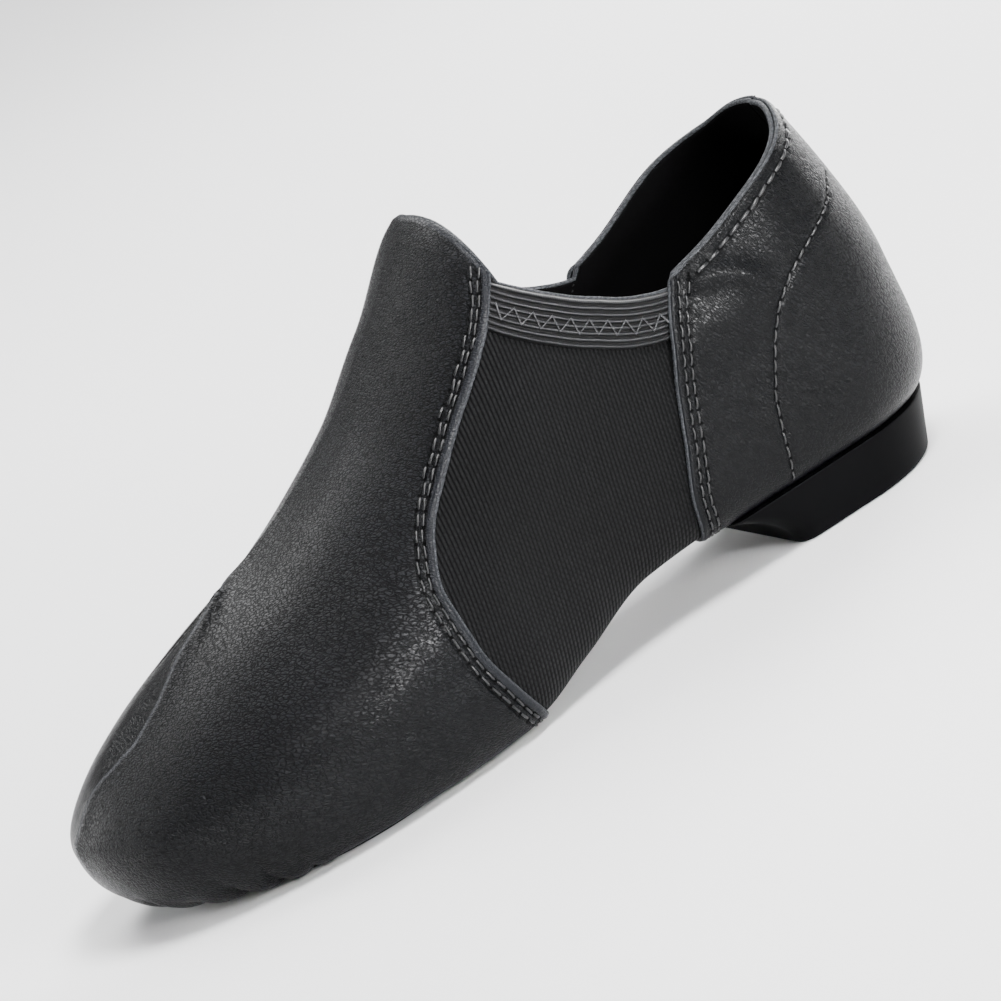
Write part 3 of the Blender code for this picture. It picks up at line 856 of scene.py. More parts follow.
# Leather shows its full grain above the second of these heights, and little of it under the first, where its
# colour is also painted darker as shade on the lower side
SMOOTH_UP_TO, GRAINED_FROM = 12 * MM, 34 * MM


def leather(name, dark, light, rough, cell, depth, turned, gleam, seams=(), strip=0.0, folded=False):
    """Grained leather with sunk stitch lines. Each seam: its label, row, pitch, line width and hole size."""
    made, tree, shader, place = material(name)
    laid = add(tree, "ShaderNodeMapping", {"Vector": place, "Rotation": turned, "Scale": (2.1, 1.3, 1.0)},
               vector_type="TEXTURE")[0]
    grain, wear = use(laid, GRAIN, Cell=cell), use(place, WEAR)
    # Grain strength and painted light: full grain and lighter colour high up, calmer grain and painted shade
    # low down
    grained_and_lit = ramp(add(tree, "ShaderNodeSeparateXYZ", {0: place})[2], SMOOTH_UP_TO, GRAINED_FROM, 0.3, 1.0)
    groove = hole = turned_edge_and_sheen = sunk = 0.0
    if folded:
        aside, here = mark(tree, "crest_gap"), mark(tree, "crest_here")
        # Beyond the crest the grain is calmer and the colour is painted darker: painted shade on the far
        # slope
        beyond = ramp(aside, -1.8 * MM, 0.2 * MM, 1.0, 0.0)
        grained_and_lit = grained_and_lit * (beyond * here * -0.75 + 1.0)
        # Painted highlight: a lighter line along the crest
        crest_highlight = ramp(abs(aside), 0.0, 0.8 * MM, 1.0, 0.0, True) * here * 0.8
    for label, row, pitch, width, size in seams:
        line = add(tree, "ShaderNodeGroup", {
            "Gap": mark(tree, label + "_gap"), "Place": mark(tree, label + "_place"), "Row": row,
            "Pitch": pitch, "Width": width, "Hole": size}, node_tree=SEAM)
        here = mark(tree, "edge_sewn") if label == "edge" else 1.0
        groove = math("MAXIMUM", groove, line["Groove"] * here)
        hole = math("MAXIMUM", hole, line["Hole"] * here)
    if seams:
        sunk = math("MAXIMUM", hole, groove * 0.6)
    if strip:
        # Smooth turned edge strip, painted as light as the grain's tops: partly its own tone, partly painted
        # highlight
        turned_edge_and_sheen = ramp(mark(tree, "edge_gap"), strip - 0.2 * MM, strip + 0.2 * MM, 1.0, 0.0)
    # Colour painted lighter on the grain's cell tops and darker in its creases: painted highlight and
    # painted shade
    tops = (1.0 - grain["Crease"]) ** 1.4 * grained_and_lit
    tone = math("MAXIMUM", wear["Tone"] * (tops * 1.1 + 0.12), turned_edge_and_sheen * 0.95)
    # Sunk stitch lines and needle holes painted darker: painted shade in these recesses
    colour = mixed(tone * (groove * -0.6 + 1.0) * (1.0 - hole), dark, light)
    if folded:
        # The crest's painted highlight is mixed into the colour
        colour = mixed(crest_highlight, colour, CREST_HIGHLIGHT_TONE)
    gloss = grain["Crease"] * grained_and_lit * 0.2 + between(wear["Tone"], rough - 0.06, rough + 0.08)
    strength = between(grain["Patch"], 0.55, 1.25) * grained_and_lit * (turned_edge_and_sheen * -0.7 + 1.0)
    bump(shader, grain["Height"] * strength - groove - hole * 2.5, depth)
    fill(shader, {"Base Color": colour, "Roughness": gloss + sunk * 0.5, "Specular IOR Level": 0.09,
                  "Coat Weight": (tops * gleam + 0.08) * (1.0 - hole), "Coat Roughness": 0.33,
                  "Coat IOR": 1.2})
    return made


def cloth(name, dark, light, rough, lean, pitch, stretch, depth, sheen):
    """Ribbed cloth whose ribs lean by an angle."""
    made, _, shader, place = material(name)
    ribs = use(place, RIBS, Across=(np.cos(lean), 0, np.sin(lean)), Along=(-np.sin(lean), 0, np.cos(lean)),
               Pitch=pitch, Float=stretch)
    # Rib crowns painted lighter and grooves darker: painted highlight and painted shade across the ribs
    tone = ribs["Height"] ** 2.2 * use(place, WEAR)["Tone"]
    bump(shader, ribs["Height"], depth)
    fill(shader, {"Base Color": mixed(tone, dark, light), "Sheen Weight": sheen, "Sheen Roughness": 0.5,
                  "Roughness": between(ribs["Groove"], rough, min(1.0, rough + 0.2)),
                  "Specular IOR Level": 0.09})
    return made


def ribbed_band(name, dark, light, rough, ribs):
    """Elastic with glossy ribs along it, painted lighter on their crowns and darker between them as painted
    highlight and shade, and fine yarns across.
    """
    made, tree, shader, place = material(name)
    yarns = use(place, RIBS, Across=(1, 0, 0.25), Along=(0, 0, 1), Pitch=0.45 * MM, Float=0.7 * MM)["Height"]
    wave = abs(math("SINE", mark(tree, "drop") * (np.pi * ribs)))
    crown = ramp(wave, 0.25, 0.95, soft=True)
    bump(shader, yarns * 0.12 + crown, 0.3 * MM)
    # Crowns painted lighter and hollows darker: painted highlight and painted shade
    fill(shader, {"Base Color": mixed(crown * (yarns * 0.5 + 0.5), dark, light),
                  "Roughness": between(crown, min(1.0, rough + 0.45), rough), "Specular IOR Level": 0.24})
    return made


def rubber(name, dark, light, rough, size, depth, gleam):
    made, _, shader, place = material(name)
    wear = use(place, WEAR, Size=size)
    bump(shader, wear["Speck"] * 0.6 + noise(place, 2500.0, 3.0), depth, 0.6)
    fill(shader, {"Base Color": mixed(wear["Tone"], dark, light), "Specular IOR Level": gleam,
                  "Roughness": between(wear["Tone"], rough - 0.08, rough + 0.1)})
    return made


def thread(name, dark, light, rough):
    made, _, shader, place = material(name)
    twist = noise(place, 4000.0, 2.0)
    bump(shader, twist, 0.08 * MM, 0.5)
    fill(shader, {"Base Color": mixed(twist, dark, light),
                  "Roughness": between(twist, rough - 0.1, rough + 0.1)})
    return made


GORE_LEAN = np.radians(9.5)
STITCH_ROWS = (2.2 * MM, 3.9 * MM)
STITCH_PITCH = 3.0 * MM
COLLAR_ROW, COLLAR_PITCH = 3.0 * MM, 3.4 * MM
LINE_WIDTH, HOLE = 0.65 * MM, 0.62 * MM
EDGE_SEAMS = tuple(("edge", row, STITCH_PITCH, LINE_WIDTH, HOLE) for row in STITCH_ROWS)
COUNTER_SEAMS = EDGE_SEAMS + (("collar", COLLAR_ROW, COLLAR_PITCH, 0.8 * MM, 0.9 * MM),
                              ("curve", 0.0, STITCH_PITCH, LINE_WIDTH, 0.75 * MM))
BAND_RIBS = 8
DEEP_BLACK = (0.0004, 0.0005, 0.0007)
LEATHER_LOOK = leather("black_leather", DEEP_BLACK, (0.0080, 0.0087, 0.0108), rough=0.30, cell=0.62 * MM,
                       depth=0.36 * MM, turned=(0, np.radians(-28), 0), gleam=0.65, seams=EDGE_SEAMS,
                       strip=1.5 * MM, folded=True)
COUNTER_LOOK = leather("counter_leather", DEEP_BLACK, (0.0028, 0.0031, 0.0040), rough=0.28, cell=0.62 * MM,
                       depth=0.15 * MM, turned=(0, np.radians(-60), 0), gleam=0.30, seams=COUNTER_SEAMS,
                       strip=0.9 * MM)
# The rolled edge is lighter grey than the leather: partly its own tone, partly a painted highlight along the
# rim
EDGE_LOOK = leather("leather_edge", (0.016, 0.017, 0.019), (0.05, 0.053, 0.059), rough=0.45, cell=0.7 * MM,
                    depth=0.05 * MM, turned=(0, 0, 0), gleam=0.1)
GORE_LOOK = cloth("ribbed_gore", (0.0002, 0.0002, 0.0003), (0.0068, 0.0071, 0.0080), rough=0.6,
                  lean=GORE_LEAN, pitch=0.88 * MM, stretch=1.3 * MM, depth=0.26 * MM, sheen=0.015)
BAND_LOOK = ribbed_band("ribbed_band", (0.0003, 0.0003, 0.0004), (0.0135, 0.0140, 0.0155), rough=0.33,
                        ribs=BAND_RIBS)
LINING_LOOK = rubber("lining", (0.001, 0.001, 0.001), (0.0022, 0.0022, 0.0025), rough=0.9, size=12 * MM,
                     depth=0.06 * MM, gleam=0.03)
INSOLE_LOOK = rubber("insole_cloth", (0.001, 0.001, 0.001), (0.0035, 0.0035, 0.004), rough=0.9,
                     size=10 * MM, depth=0.08 * MM, gleam=0.05)
PAD_LOOK = rubber("sole_rubber", (0.009, 0.0094, 0.0105), (0.017, 0.018, 0.0205), rough=0.60,
                  size=20 * MM, depth=0.04 * MM, gleam=0.25)
HEEL_LOOK = rubber("heel_rubber", (0.0006, 0.0006, 0.0007), (0.0020, 0.0020, 0.0024), rough=0.5,
                   size=20 * MM, depth=0.03 * MM, gleam=0.03)
THREAD_LOOK = thread("black_thread", (0.0012, 0.0012, 0.0015), (0.0075, 0.0078, 0.0088), rough=0.36)
BAND_THREAD_LOOK = thread("band_thread", (0.012, 0.012, 0.0135), (0.055, 0.056, 0.061), rough=0.4)

STITCHES, ZIGZAG, ROLL, STUDS = stitch_tree(), zigzag_tree(), roll_tree(), stud_tree()
ROOT = "root"


def done(piece, look, slot, *nodes):
    """Gives a piece its material, lets it ride on the shoe, and hides the imported parts that it stands for.
    """
    if look is not None:
        piece.data.materials.clear()
        piece.data.materials.append(look)
    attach(piece, ROOT)
    if nodes:
        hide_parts(*nodes)
    return piece


# Vamp

# Where the sheet's rows and marks fall, and the steps between them
VAMP_ROWS = runs([0, 0.7, 1, 2, 3, 4], [8, 14, 28, 48, 44])
VAMP_MARKS = runs([0, 0.2, 1, 2], [16, 48, 84])
PLEAT_PITCH = 6.0 * MM
PLEAT_DEPTH = 1.9 * MM
PLEAT_SHARPNESS, PLEAT_LEVEL = 0.65, 0.62
PLEAT_REACH, PLEAT_REACH_AHEAD = 12 * MM, 6 * MM
PLEAT_FAN = np.radians((48, 76))
# Plan of the toe's crease as places and distances from the middle, and its height at places, in mm
CREASE = ((84, -2.0), (100, -2.1), (120, -2.9), (140, -2.4), (153.9, -2.3), (158.1, 0.3), (162.5, 2.0),
          (166.9, 3.1), (171.5, 4.0), (176.6, 5.6), (181.7, 6.9), (187.7, 7.1), (194, 5.0), (200.6, 0.7),
          (203, 0.0), (205.9, -1.1), (207.4, -2.7))
CREASE_HEIGHT = ((84, 0.0), (92, 0.2), (110, 0.4), (138, 0.6), (150, 1.1), (158, 1.7), (172, 1.6),
                 (182, 0.9), (190, 0.4), (197, 0.6), (202, 0.9), (207, 0.8))
CREST_ROUND, CREST_WIDTH, CREST_REACH = 0.9 * MM, 2.4 * MM, 9 * MM
# Relief beside an edge: turned edge, sunk stitch lines, and puckers between the stitches
SEAM_REACH = 7 * MM
EDGE_LIFT, EDGE_FALL = 0.12 * MM, 0.30 * MM
LINE_DEPTH, LINE_PULL, PUCKER = 0.12 * MM, 0.10 * MM, 0.08 * MM
FLOOR_GAP = 0.12 * MM


def vamp_along(side, row, mark):
    start = np.where(row < 3, np.interp(row, EDGE_ROWS, VAMP_START[side]), THROAT_ALONG)
    return np.where(mark < 1, start + (TOE_START - start) * mark, TOE_START + (1 - TOE_START) * (mark - 1))


def vamp_back(side, rows):
    """The vamp's rear edge on one side, at the given rows."""
    return line_points(side, rows, lambda s, row: float(vamp_along(s, row, 0)))


def vamp_rim():
    """The vamp's rear edge: up the outer side, over the throat, and down the inner side."""
    outer, inner = (vamp_back(side, runs([0, 1, 2, 3, 4], [20, 30, 80, 40])) for side in SIDES)
    return np.concatenate([outer, inner[::-1][1:-1]])


def pad_gap(points):
    """Turn about the forefoot's sole, and the distance outside its edge."""
    x = points[:, 0] + LENGTH / 2 - PAD_PLACE
    y = points[:, 1] - middle_line(PAD_PLACE)
    turn = np.arctan2(y / (PAD_WIDTH / 2), x / (PAD_LENGTH / 2))
    half = (PAD_WIDTH / 2) * (1 - PAD_TAPER * np.cos(turn))
    rim = np.hypot(PAD_LENGTH / 2 * np.cos(turn), half * np.sin(turn))
    return turn, np.hypot(x, y) - rim


def pleats(points):
    """Folds gathered from the forefoot's sole out to the toe's edge: sharp valleys, round swells."""
    turn, gap = pad_gap(points)
    arc = turn * (PAD_LENGTH + PAD_WIDTH) / 4 / PLEAT_PITCH
    arc = arc + 0.22 * np.sin(3.1 * turn + 1.0) + 0.12 * np.sin(7.3 * turn)
    swell = np.abs(np.sin(np.pi * arc)) ** PLEAT_SHARPNESS - PLEAT_LEVEL
    reach = PLEAT_REACH + PLEAT_REACH_AHEAD * np.cos(turn).clip(0) ** 2
    reach += (2.5 * np.sin(2.3 * arc) + 1.5 * np.sin(5.1 * arc + 1)) * MM
    run = gap + 0.85 * points[:, 2]
    fade = step_up(run, -0.8 * MM, 1.2 * MM) * (1 - step_up(run, 0.55 * reach, 1.5 * reach))
    window = 1 - step_up(np.abs(turn), *PLEAT_FAN)
    return PLEAT_DEPTH * swell * fade * window


def seam_relief(gaps, places, rows, pitch=STITCH_PITCH):
    """Sunk lines along the stitch rows beside an edge, puckers between stitches, and a turned edge."""
    swell = EDGE_LIFT * (1 - step_up(gaps, 0.8 * MM, 1.8 * MM)) - EDGE_FALL * bump_line(gaps, 0.45 * MM)
    pull = 0.5 + 0.5 * np.cos(2 * np.pi * (places / pitch - 0.5))
    for row in rows:
        swell -= (LINE_DEPTH + LINE_PULL * pull) * bump_line(gaps - row, 0.7 * MM)
        swell -= PUCKER * (pull - 0.5) * bump_line(gaps - row, 1.8 * MM)
    return swell


def crest(points):
    """The crease that packing has left along the vamp's ridge and down the toe."""
    x = (points[:, 0] + LENGTH / 2) / MM
    middle = smooth(*zip(*CREASE), np.clip(x, CREASE[0][0], CREASE[-1][0])) * MM
    height = np.interp(x, *zip(*CREASE_HEIGHT)) * MM
    gap = points[:, 1] - middle
    sharp = np.exp(-(np.hypot(gap, CREST_ROUND) - CREST_ROUND) / CREST_WIDTH)
    upper = step_up(points[:, 2], 12 * MM, 24 * MM)
    here = upper * step_up(x, 146, 156)
    return height * sharp * upper, gap.clip(-CREST_REACH, CREST_REACH), here


def make_vamp():
    piece = form_sheet("vamp_leather", VAMP_ROWS, VAMP_MARKS, vamp_along)
    mesh = piece.data
    points, normals = corners_and_normals(mesh)
    rim = vamp_rim()
    ridge, beside, here = crest(points)
    keep(mesh, "crest_gap", beside)
    keep(mesh, "crest_here", here)
    swell = ridge + pleats(points) + 0.16 * MM * waves(points, 26 * MM, 4)
    gaps, places = distance_to(points, rim, SEAM_REACH)
    corner = path_length(vamp_back(1, runs([0, 1, 2, 3], [20, 30, 80])))
    beyond = np.minimum(places - corner, path_length(rim) - corner - places)
    sewn = 1 - step_up(beyond, 0.8 * STITCH_PITCH, 1.2 * STITCH_PITCH)
    plain = seam_relief(gaps, places, ())
    swell += plain + sewn * (seam_relief(gaps, places, STITCH_ROWS) - plain)
    keep(mesh, "edge_gap", gaps)
    keep(mesh, "edge_place", places)
    keep(mesh, "edge_sewn", sewn)
    points = points + normals * swell[:, None]
    points[:, 2] = np.maximum(points[:, 2], FLOOR_GAP)
    set_corners(mesh, points)
    return piece, rim


VAMP, VAMP_RIM = make_vamp()
VAMP_SKIN = Surface(VAMP.data)
thicken(VAMP, 0, LEATHER)
done(VAMP, LEATHER_LOOK, "leather", "vamp")


def rolled(name, path, skin, radius, depth, slot):
    """The rounded edge of a sheet, along a closed path on it."""
    places, normals = skin.lay(path)
    piece = wire(name, [(places - normals * depth, normals)], closed=True)
    grow(piece, ROLL, Radius=radius, Sides=8, Material=EDGE_LOOK)
    return done(piece, None, slot)


def stitched(name, lines, slot, length=2.2 * MM, thickness=0.27 * MM, proud=0.2 * MM):
    piece = wire(name, lines)
    grow(piece, STITCHES, Length=length, Thread=thickness, Proud=proud, Wander=0.07, Seed=1,
         Material=THREAD_LOOK)
    return done(piece, None, slot)


EDGE_RADIUS, EDGE_DEPTH = 0.47 * MM, 0.42 * MM
rolled("vamp_edge", VAMP_RIM, VAMP_SKIN, EDGE_RADIUS, EDGE_DEPTH, "leather")

TOE_POINT = (LENGTH / 2, 0, 30 * MM)
HEEL_POINT = (-LENGTH / 2, 0, 30 * MM)
LAST_STITCH_ROW = 2.97


def vamp_seams():
    """Stitch places beside the vamp's edge, up to the throat's corners on both sides."""
    places = stitch_places(VAMP_RIM, STITCH_PITCH)
    up, down = (int(np.argmin(np.linalg.norm(places - vamp_back(side, [LAST_STITCH_ROW])[0], axis=1)))
                for side in SIDES)
    return [VAMP_SKIN.beside(half, distance, TOE_POINT) for half in (places[:up + 2], places[down - 1:])
            for distance in STITCH_ROWS]


stitched("vamp_stitches", vamp_seams(), "leather")


# Counter

COUNTER_ROWS = runs([0, 1, 2, 3], [16, 22, 78])
# Lines of the side view, in mm: the lining's seam, and the fold under the collar. The seam's lower end is
# given by places along and up the sections.
CURVE_SEAM = ((7.4, 62.5), (12.8, 58.8), (19.3, 56.4), (25.3, 54.0), (29.6, 51.8), (34.9, 47.8),
              (38.7, 42.8), (42.0, 37.0), (43.9, 33.2))
LOW_SEAM = ((44.6, 2.0), (45.9, 1.8), (46.9, 1.6), (47.5, 1.4), (47.8, 1.2))
FOLD = ((52.3, 61.2), (48.0, 60.8), (43.2, 59.8), (39.0, 57.7), (36.6, 54.6), (35.4, 50.5))
FOLD_HEIGHTS, FOLD_REACH = (0.95 * MM, 0.5 * MM), 9 * MM
CURVE_SWELL, CURVE_DEPTH, CURVE_PULL = 0.14 * MM, 0.26 * MM, 0.08 * MM
BULGE, BULGE_REACH = 1.0 * MM, 24 * MM


def counter_along(side, row, share):
    return share * np.interp(row, EDGE_ROWS, COUNTER_END[side])


def counter_front(side):
    rows = runs([0, 1, 2, 3], [14, 20, 60])
    return line_points(side, rows, lambda s, row: float(counter_along(s, row, 1)))


def collar_line(side):
    shares = np.linspace(1, 0, 70)
    return np.array([on_form(side, share * DIP_ALONG, 3) for share in shares]) - MIDDLE


def side_line(side, table):
    """A line on one side of the form through points of the side view."""
    table = np.array(table) * MM
    steps = np.linspace(0, len(table) - 1, 60)
    xs = [np.interp(steps, range(len(table)), table[:, k]) for k in (0, 1)]
    return np.array([spot(side, *find(side, x, z)) for x, z in zip(*xs)]) - MIDDLE


def back_seam(side):
    """The curved seam of the heel's lining, from the back down to the heel's front."""
    low = [spot(side, *search(side, x * MM, HEEL_END, lambda along: up)) - MIDDLE for x, up in LOW_SEAM]
    return np.concatenate([side_line(side, CURVE_SEAM), low])


COLLAR_PATH = np.concatenate([collar_line(1), collar_line(-1)[::-1][1:]])


def nearest(gap, place, known_gap, known_place):
    """The nearer of two lines at each point, as its distance and the place along it."""
    nearer = np.abs(gap) < np.abs(known_gap)
    return np.where(nearer, gap, known_gap), np.where(nearer, place, known_place)


def collar_bulge(points):
    """The swelling of the counter under its collar, which fades towards the back."""
    under = distance_to(points, COLLAR_PATH, BULGE_REACH)[0]
    ahead = step_up(points[:, 0], -80 * MM, -60 * MM)
    return BULGE * ahead * bump_line(under - 13 * MM, 7 * MM) * (1 - step_up(under, 20 * MM, BULGE_REACH))


def make_counter():
    piece = form_sheet("counter_leather", COUNTER_ROWS, np.linspace(0, 1, 108), counter_along)
    mesh = piece.data
    points, normals = corners_and_normals(mesh)
    collar, collar_place = distance_to(points, COLLAR_PATH, SEAM_REACH)
    swell = 0.12 * MM * waves(points, 24 * MM, 9)
    swell += collar_bulge(points)
    swell += seam_relief(collar, collar_place, (COLLAR_ROW,), COLLAR_PITCH)
    edge = curve = np.full(len(points), SEAM_REACH)
    edge_place = curve_place = np.zeros(len(points))
    for side, fold_height in zip(SIDES, FOLD_HEIGHTS):
        gap, place = distance_to(points, counter_front(side), SEAM_REACH)
        edge, edge_place = nearest(gap, place, edge, edge_place)
        swell += seam_relief(gap, place, STITCH_ROWS)
        gap, place = distance_to(points, back_seam(side), SEAM_REACH, normals)
        curve, curve_place = nearest(gap, place, curve, curve_place)
        pull = np.cos(2 * np.pi * (place / STITCH_PITCH - 0.5))
        swell += CURVE_SWELL * bump_line(gap, 2.6 * MM)
        swell -= (CURVE_DEPTH + CURVE_PULL * pull) * bump_line(gap, 0.8 * MM)
        fold, place = distance_to(points, side_line(side, FOLD), FOLD_REACH)
        fade = step_up(place, 1 * MM, 6 * MM) * (1 - step_up(place, 15 * MM, 24 * MM))
        swell += fold_height * fade * bump_line(fold, 2.7 * MM)
    held = {"edge_gap": edge, "edge_place": edge_place, "edge_sewn": step_up(collar, 1.2 * MM, 2.0 * MM),
            "collar_gap": np.where(edge < 4.8 * MM, SEAM_REACH, collar), "collar_place": collar_place,
            "curve_gap": curve, "curve_place": curve_place}
    for label, values in held.items():
        keep(mesh, label, values)
    set_corners(mesh, points + normals * swell[:, None])
    return piece


COUNTER = make_counter()
COUNTER_SKIN = Surface(COUNTER.data)
COUNTER_LOOP = np.concatenate([counter_front(1), collar_line(1)[1:], collar_line(-1)[::-1][1:],
                               counter_front(-1)[::-1][1:-1]])
thicken(COUNTER, 0, LEATHER)
done(COUNTER, COUNTER_LOOK, "leather", "counter")
rolled("counter_edge", COUNTER_LOOP, COUNTER_SKIN, EDGE_RADIUS, EDGE_DEPTH, "leather")
stitched("counter_stitches", [COUNTER_SKIN.beside(stitch_places(counter_front(side), STITCH_PITCH)[1:],
                                                  distance, HEEL_POINT)
                              for side in SIDES for distance in STITCH_ROWS], "leather")
stitched("collar_stitches", [COUNTER_SKIN.beside(stitch_places(COLLAR_PATH, COLLAR_PITCH)[1:-2], COLLAR_ROW,
                                                 (-0.06, 0, 0))], "leather",
         length=2.7 * MM, thickness=0.40 * MM)
stitched("counter_curve_stitches", [COUNTER_SKIN.lay(stitch_places(back_seam(side), STITCH_PITCH))
                                    for side in SIDES], "leather")


# Gore and lining

# How far the elastic's top edge lies under the corners of the leather, at places along the shoe, in mm
DROPS = ((0, 0.0), (50.9, 0.0), (52.6, 1.9), (59, 1.0), (68, 0.35), (76, 1.0), (84.6, 2.5), (88, 0.0),
         (210, 0.0))
BAND_SPAN = (52.6 * MM, 84.6 * MM)


def drop_at(x):
    return np.interp(x, *(np.array(DROPS).T * MM))


def under_edge(side, along, row):
    """The form, with its topline lowered between the corners of the leather."""
    point = on_form(side, along, row)
    low, high = (on_form(side, along, np.full(np.shape(row), level))[..., 2] for level in (2.0, 3.0))
    wall = np.maximum(high - low, 10 * MM)
    share = np.clip(np.asarray(row) - 2, 0, 1) ** 4 * (np.asarray(row) <= 3)
    return on_form(side, along, row - share * drop_at(point[..., 0]) / wall)


UPPER_MARKS = runs([0, 1, 2, 3, 4, 5], [26, 26, 26, 34, 30])


def upper_along(side, row, mark):
    return np.interp(mark, [0, 1, 2, 3, 4, 5], [0, HEEL_END, DIP_ALONG, THROAT_ALONG, TOE_START, 1])


def upper_sheet(name, counts):
    """The upper's form, open above the topline behind the throat."""
    return form_sheet(name, runs([0, 1, 2, 3, 4], counts), UPPER_MARKS, upper_along,
                      lambda row, mark: (row < 3 - 1e-6) | (mark >= 3 - 1e-6), under_edge)


def make_upper():
    piece = upper_sheet("gore_and_lining", [12, 16, 46, 16])
    for look in (GORE_LOOK, LINING_LOOK):
        piece.data.materials.append(look)
    thicken(piece, LEATHER + GAP / 2, WALL, 1)
    return done(piece, None, "gore", "upper")


make_upper()


def inner_rim():
    """Edge of the lining: around the collar, along the bands and over the throat."""
    outer = [under_edge(1, along, 3) for along in np.linspace(0, THROAT_ALONG, 150)]
    over = [on_form(1, THROAT_ALONG, row) for row in np.linspace(3, 4, 30)[1:]]
    back = [on_form(-1, THROAT_ALONG, row) for row in np.linspace(4, 3, 30)[1:]]
    inner = [under_edge(-1, along, 3) for along in np.linspace(THROAT_ALONG, 0, 150)[1:-1]]
    return np.array(outer + over + back + inner) - MIDDLE


GUIDE = upper_sheet("form_guide", [6, 8, 40, 16])
UPPER_SKIN = Surface(GUIDE.data)
bpy.data.objects.remove(GUIDE)
rolled("lining_edge", inner_rim(), UPPER_SKIN, 0.62 * MM, LEATHER + GAP / 2 + WALL / 2, "gore")


# Collar bands

# How far the ends pass under the leather, how deep they lie there, the ribs' height, and the fall of the
# first and last of them
BAND_TUCK, TUCK_DEPTH = 1.2 * MM, 0.3 * MM
BAND_RELIEF, BORDER_FALL = 0.42 * MM, 0.2 * MM
ZIGZAG_SHARE = 0.56


def band_end(edge, reach, drop, x):
    """Where a line of the band, at a share of its height, passes under the leather."""
    for _ in range(30):
        x += 0.5 * (edge(band_height(x, drop)) + reach - BAND_SHIFT * drop - x)
    return x


def band_height(x, drop):
    """Height of a line of the band, at a share of the band's own height."""
    return band_edge(x) - drop_at(np.clip(x, *BAND_SPAN)) - BAND_DROP * drop


def make_band(side):
    """Ribbed elastic whose ends pass under the leather."""
    drops, shares = np.linspace(0, 1, 65), np.linspace(0, 1, 64)
    points = np.zeros((len(drops), len(shares), 3))
    for i, drop in enumerate(drops):
        start = band_end(counter_edge, -BAND_TUCK, drop, DIP_PLACE)
        stop = band_end(vamp_edge, BAND_TUCK, drop, THROAT_PLACE)
        for j, share in enumerate(shares):
            x = start + (stop - start) * share
            points[i, j] = spot(side, *find(side, x + BAND_SHIFT * drop, band_height(x, drop)))
    points -= MIDDLE
    faces = quads_of(np.arange(len(drops) * len(shares)).reshape(len(drops), -1)).reshape(-1, 4)
    word = "outer" if side > 0 else "inner"
    piece = mesh_object("band_" + word, points.reshape(-1, 3), faces if side > 0 else faces[:, ::-1])
    mesh = piece.data
    keep(mesh, "drop", np.repeat(drops, len(shares)))
    places, normals = corners_and_normals(mesh)
    rib = np.abs(np.sin(np.pi * BAND_RIBS * drops)) ** 0.7 - 0.75
    swell = BAND_RELIEF * rib - BORDER_FALL * (1 - step_up(drops, 0, 0.08) + step_up(drops, 0.92, 1))
    sunk = TUCK_DEPTH * (1 - step_up(shares, 0, 0.06) + step_up(shares, 0.94, 1))
    swell = swell[:, None] - 0.05 * MM - sunk[None, :]
    set_corners(mesh, places + normals * swell.reshape(-1, 1))
    mesh.shade_smooth()
    skin = Surface(mesh)
    thicken(piece, LEATHER - BAND_THICKNESS, BAND_THICKNESS)
    done(piece, BAND_LOOK, "band", "collar_band_" + word)
    zigzag = wire("band_" + word + "_zigzag", [skin.lay(points[int(ZIGZAG_SHARE * len(drops)), 2:-2])])
    grow(zigzag, ZIGZAG, Half_Pitch=2.0 * MM, Reach=1.5 * MM, Thread=0.19 * MM, Proud=0.14 * MM,
         Material=BAND_THREAD_LOOK)
    done(zigzag, None, "band")


for side in SIDES:
    make_band(side)


# Insole

def make_insole():
    rows, shares = np.linspace(0, INSOLE_REACH, 24), np.linspace(0, 1, 120)
    piece = form_sheet("insole_cloth", rows, shares, lambda side, row, share: share)
    mesh = piece.data
    points, normals = corners_and_normals(mesh)
    set_corners(mesh, points + normals * (0.1 * MM * waves(points, 30 * MM, 12) - 0.1 * MM)[:, None])
    thicken(piece, LEATHER + GAP + WALL + GAP, INSOLE_THICKNESS)
    return done(piece, INSOLE_LOOK, "insole", "insole")


make_insole()


# Forefoot sole

PAD_BORDER, PAD_FILLET, PAD_GROOVE = 1.9 * MM, 0.5 * MM, 0.42 * MM
STUD_HEIGHT = 0.42 * MM
# Studs are laid out at this height, and cast up onto the underside
STUDS_FROM = -20 * MM


def pad_points(share, height, count):
    turn = np.linspace(0, 2 * np.pi, count, endpoint=False)
    x = PAD_LENGTH / 2 * np.cos(turn) * share
    y = PAD_WIDTH / 2 * (1 - PAD_TAPER * np.cos(turn)) * np.sin(turn) * share
    plan = np.column_stack([x + PAD_PLACE, y + middle_line(PAD_PLACE)])
    return np.column_stack([plan, base_height(plan[:, 0]) - PAD_PROUD + height]) - MIDDLE


def closed_rings(name, rings, first, last):
    """Closed body through rings of equal counts, with a point at each end."""
    count = len(rings[0])
    points = np.concatenate([[first], *rings, [last]])
    faces = []
    for i in range(count):
        k = (i + 1) % count
        faces.append((0, 1 + k, 1 + i))
        faces.append((len(points) - 1, len(points) - 1 - count + i, len(points) - 1 - count + k))
        for j in range(len(rings) - 1):
            a, b = 1 + j * count, 1 + (j + 1) * count
            faces.append((a + i, a + k, b + k, b + i))
    return rework(mesh_object(name, points, faces),
                  lambda bm: bmesh.ops.recalc_face_normals(bm, faces=bm.faces))


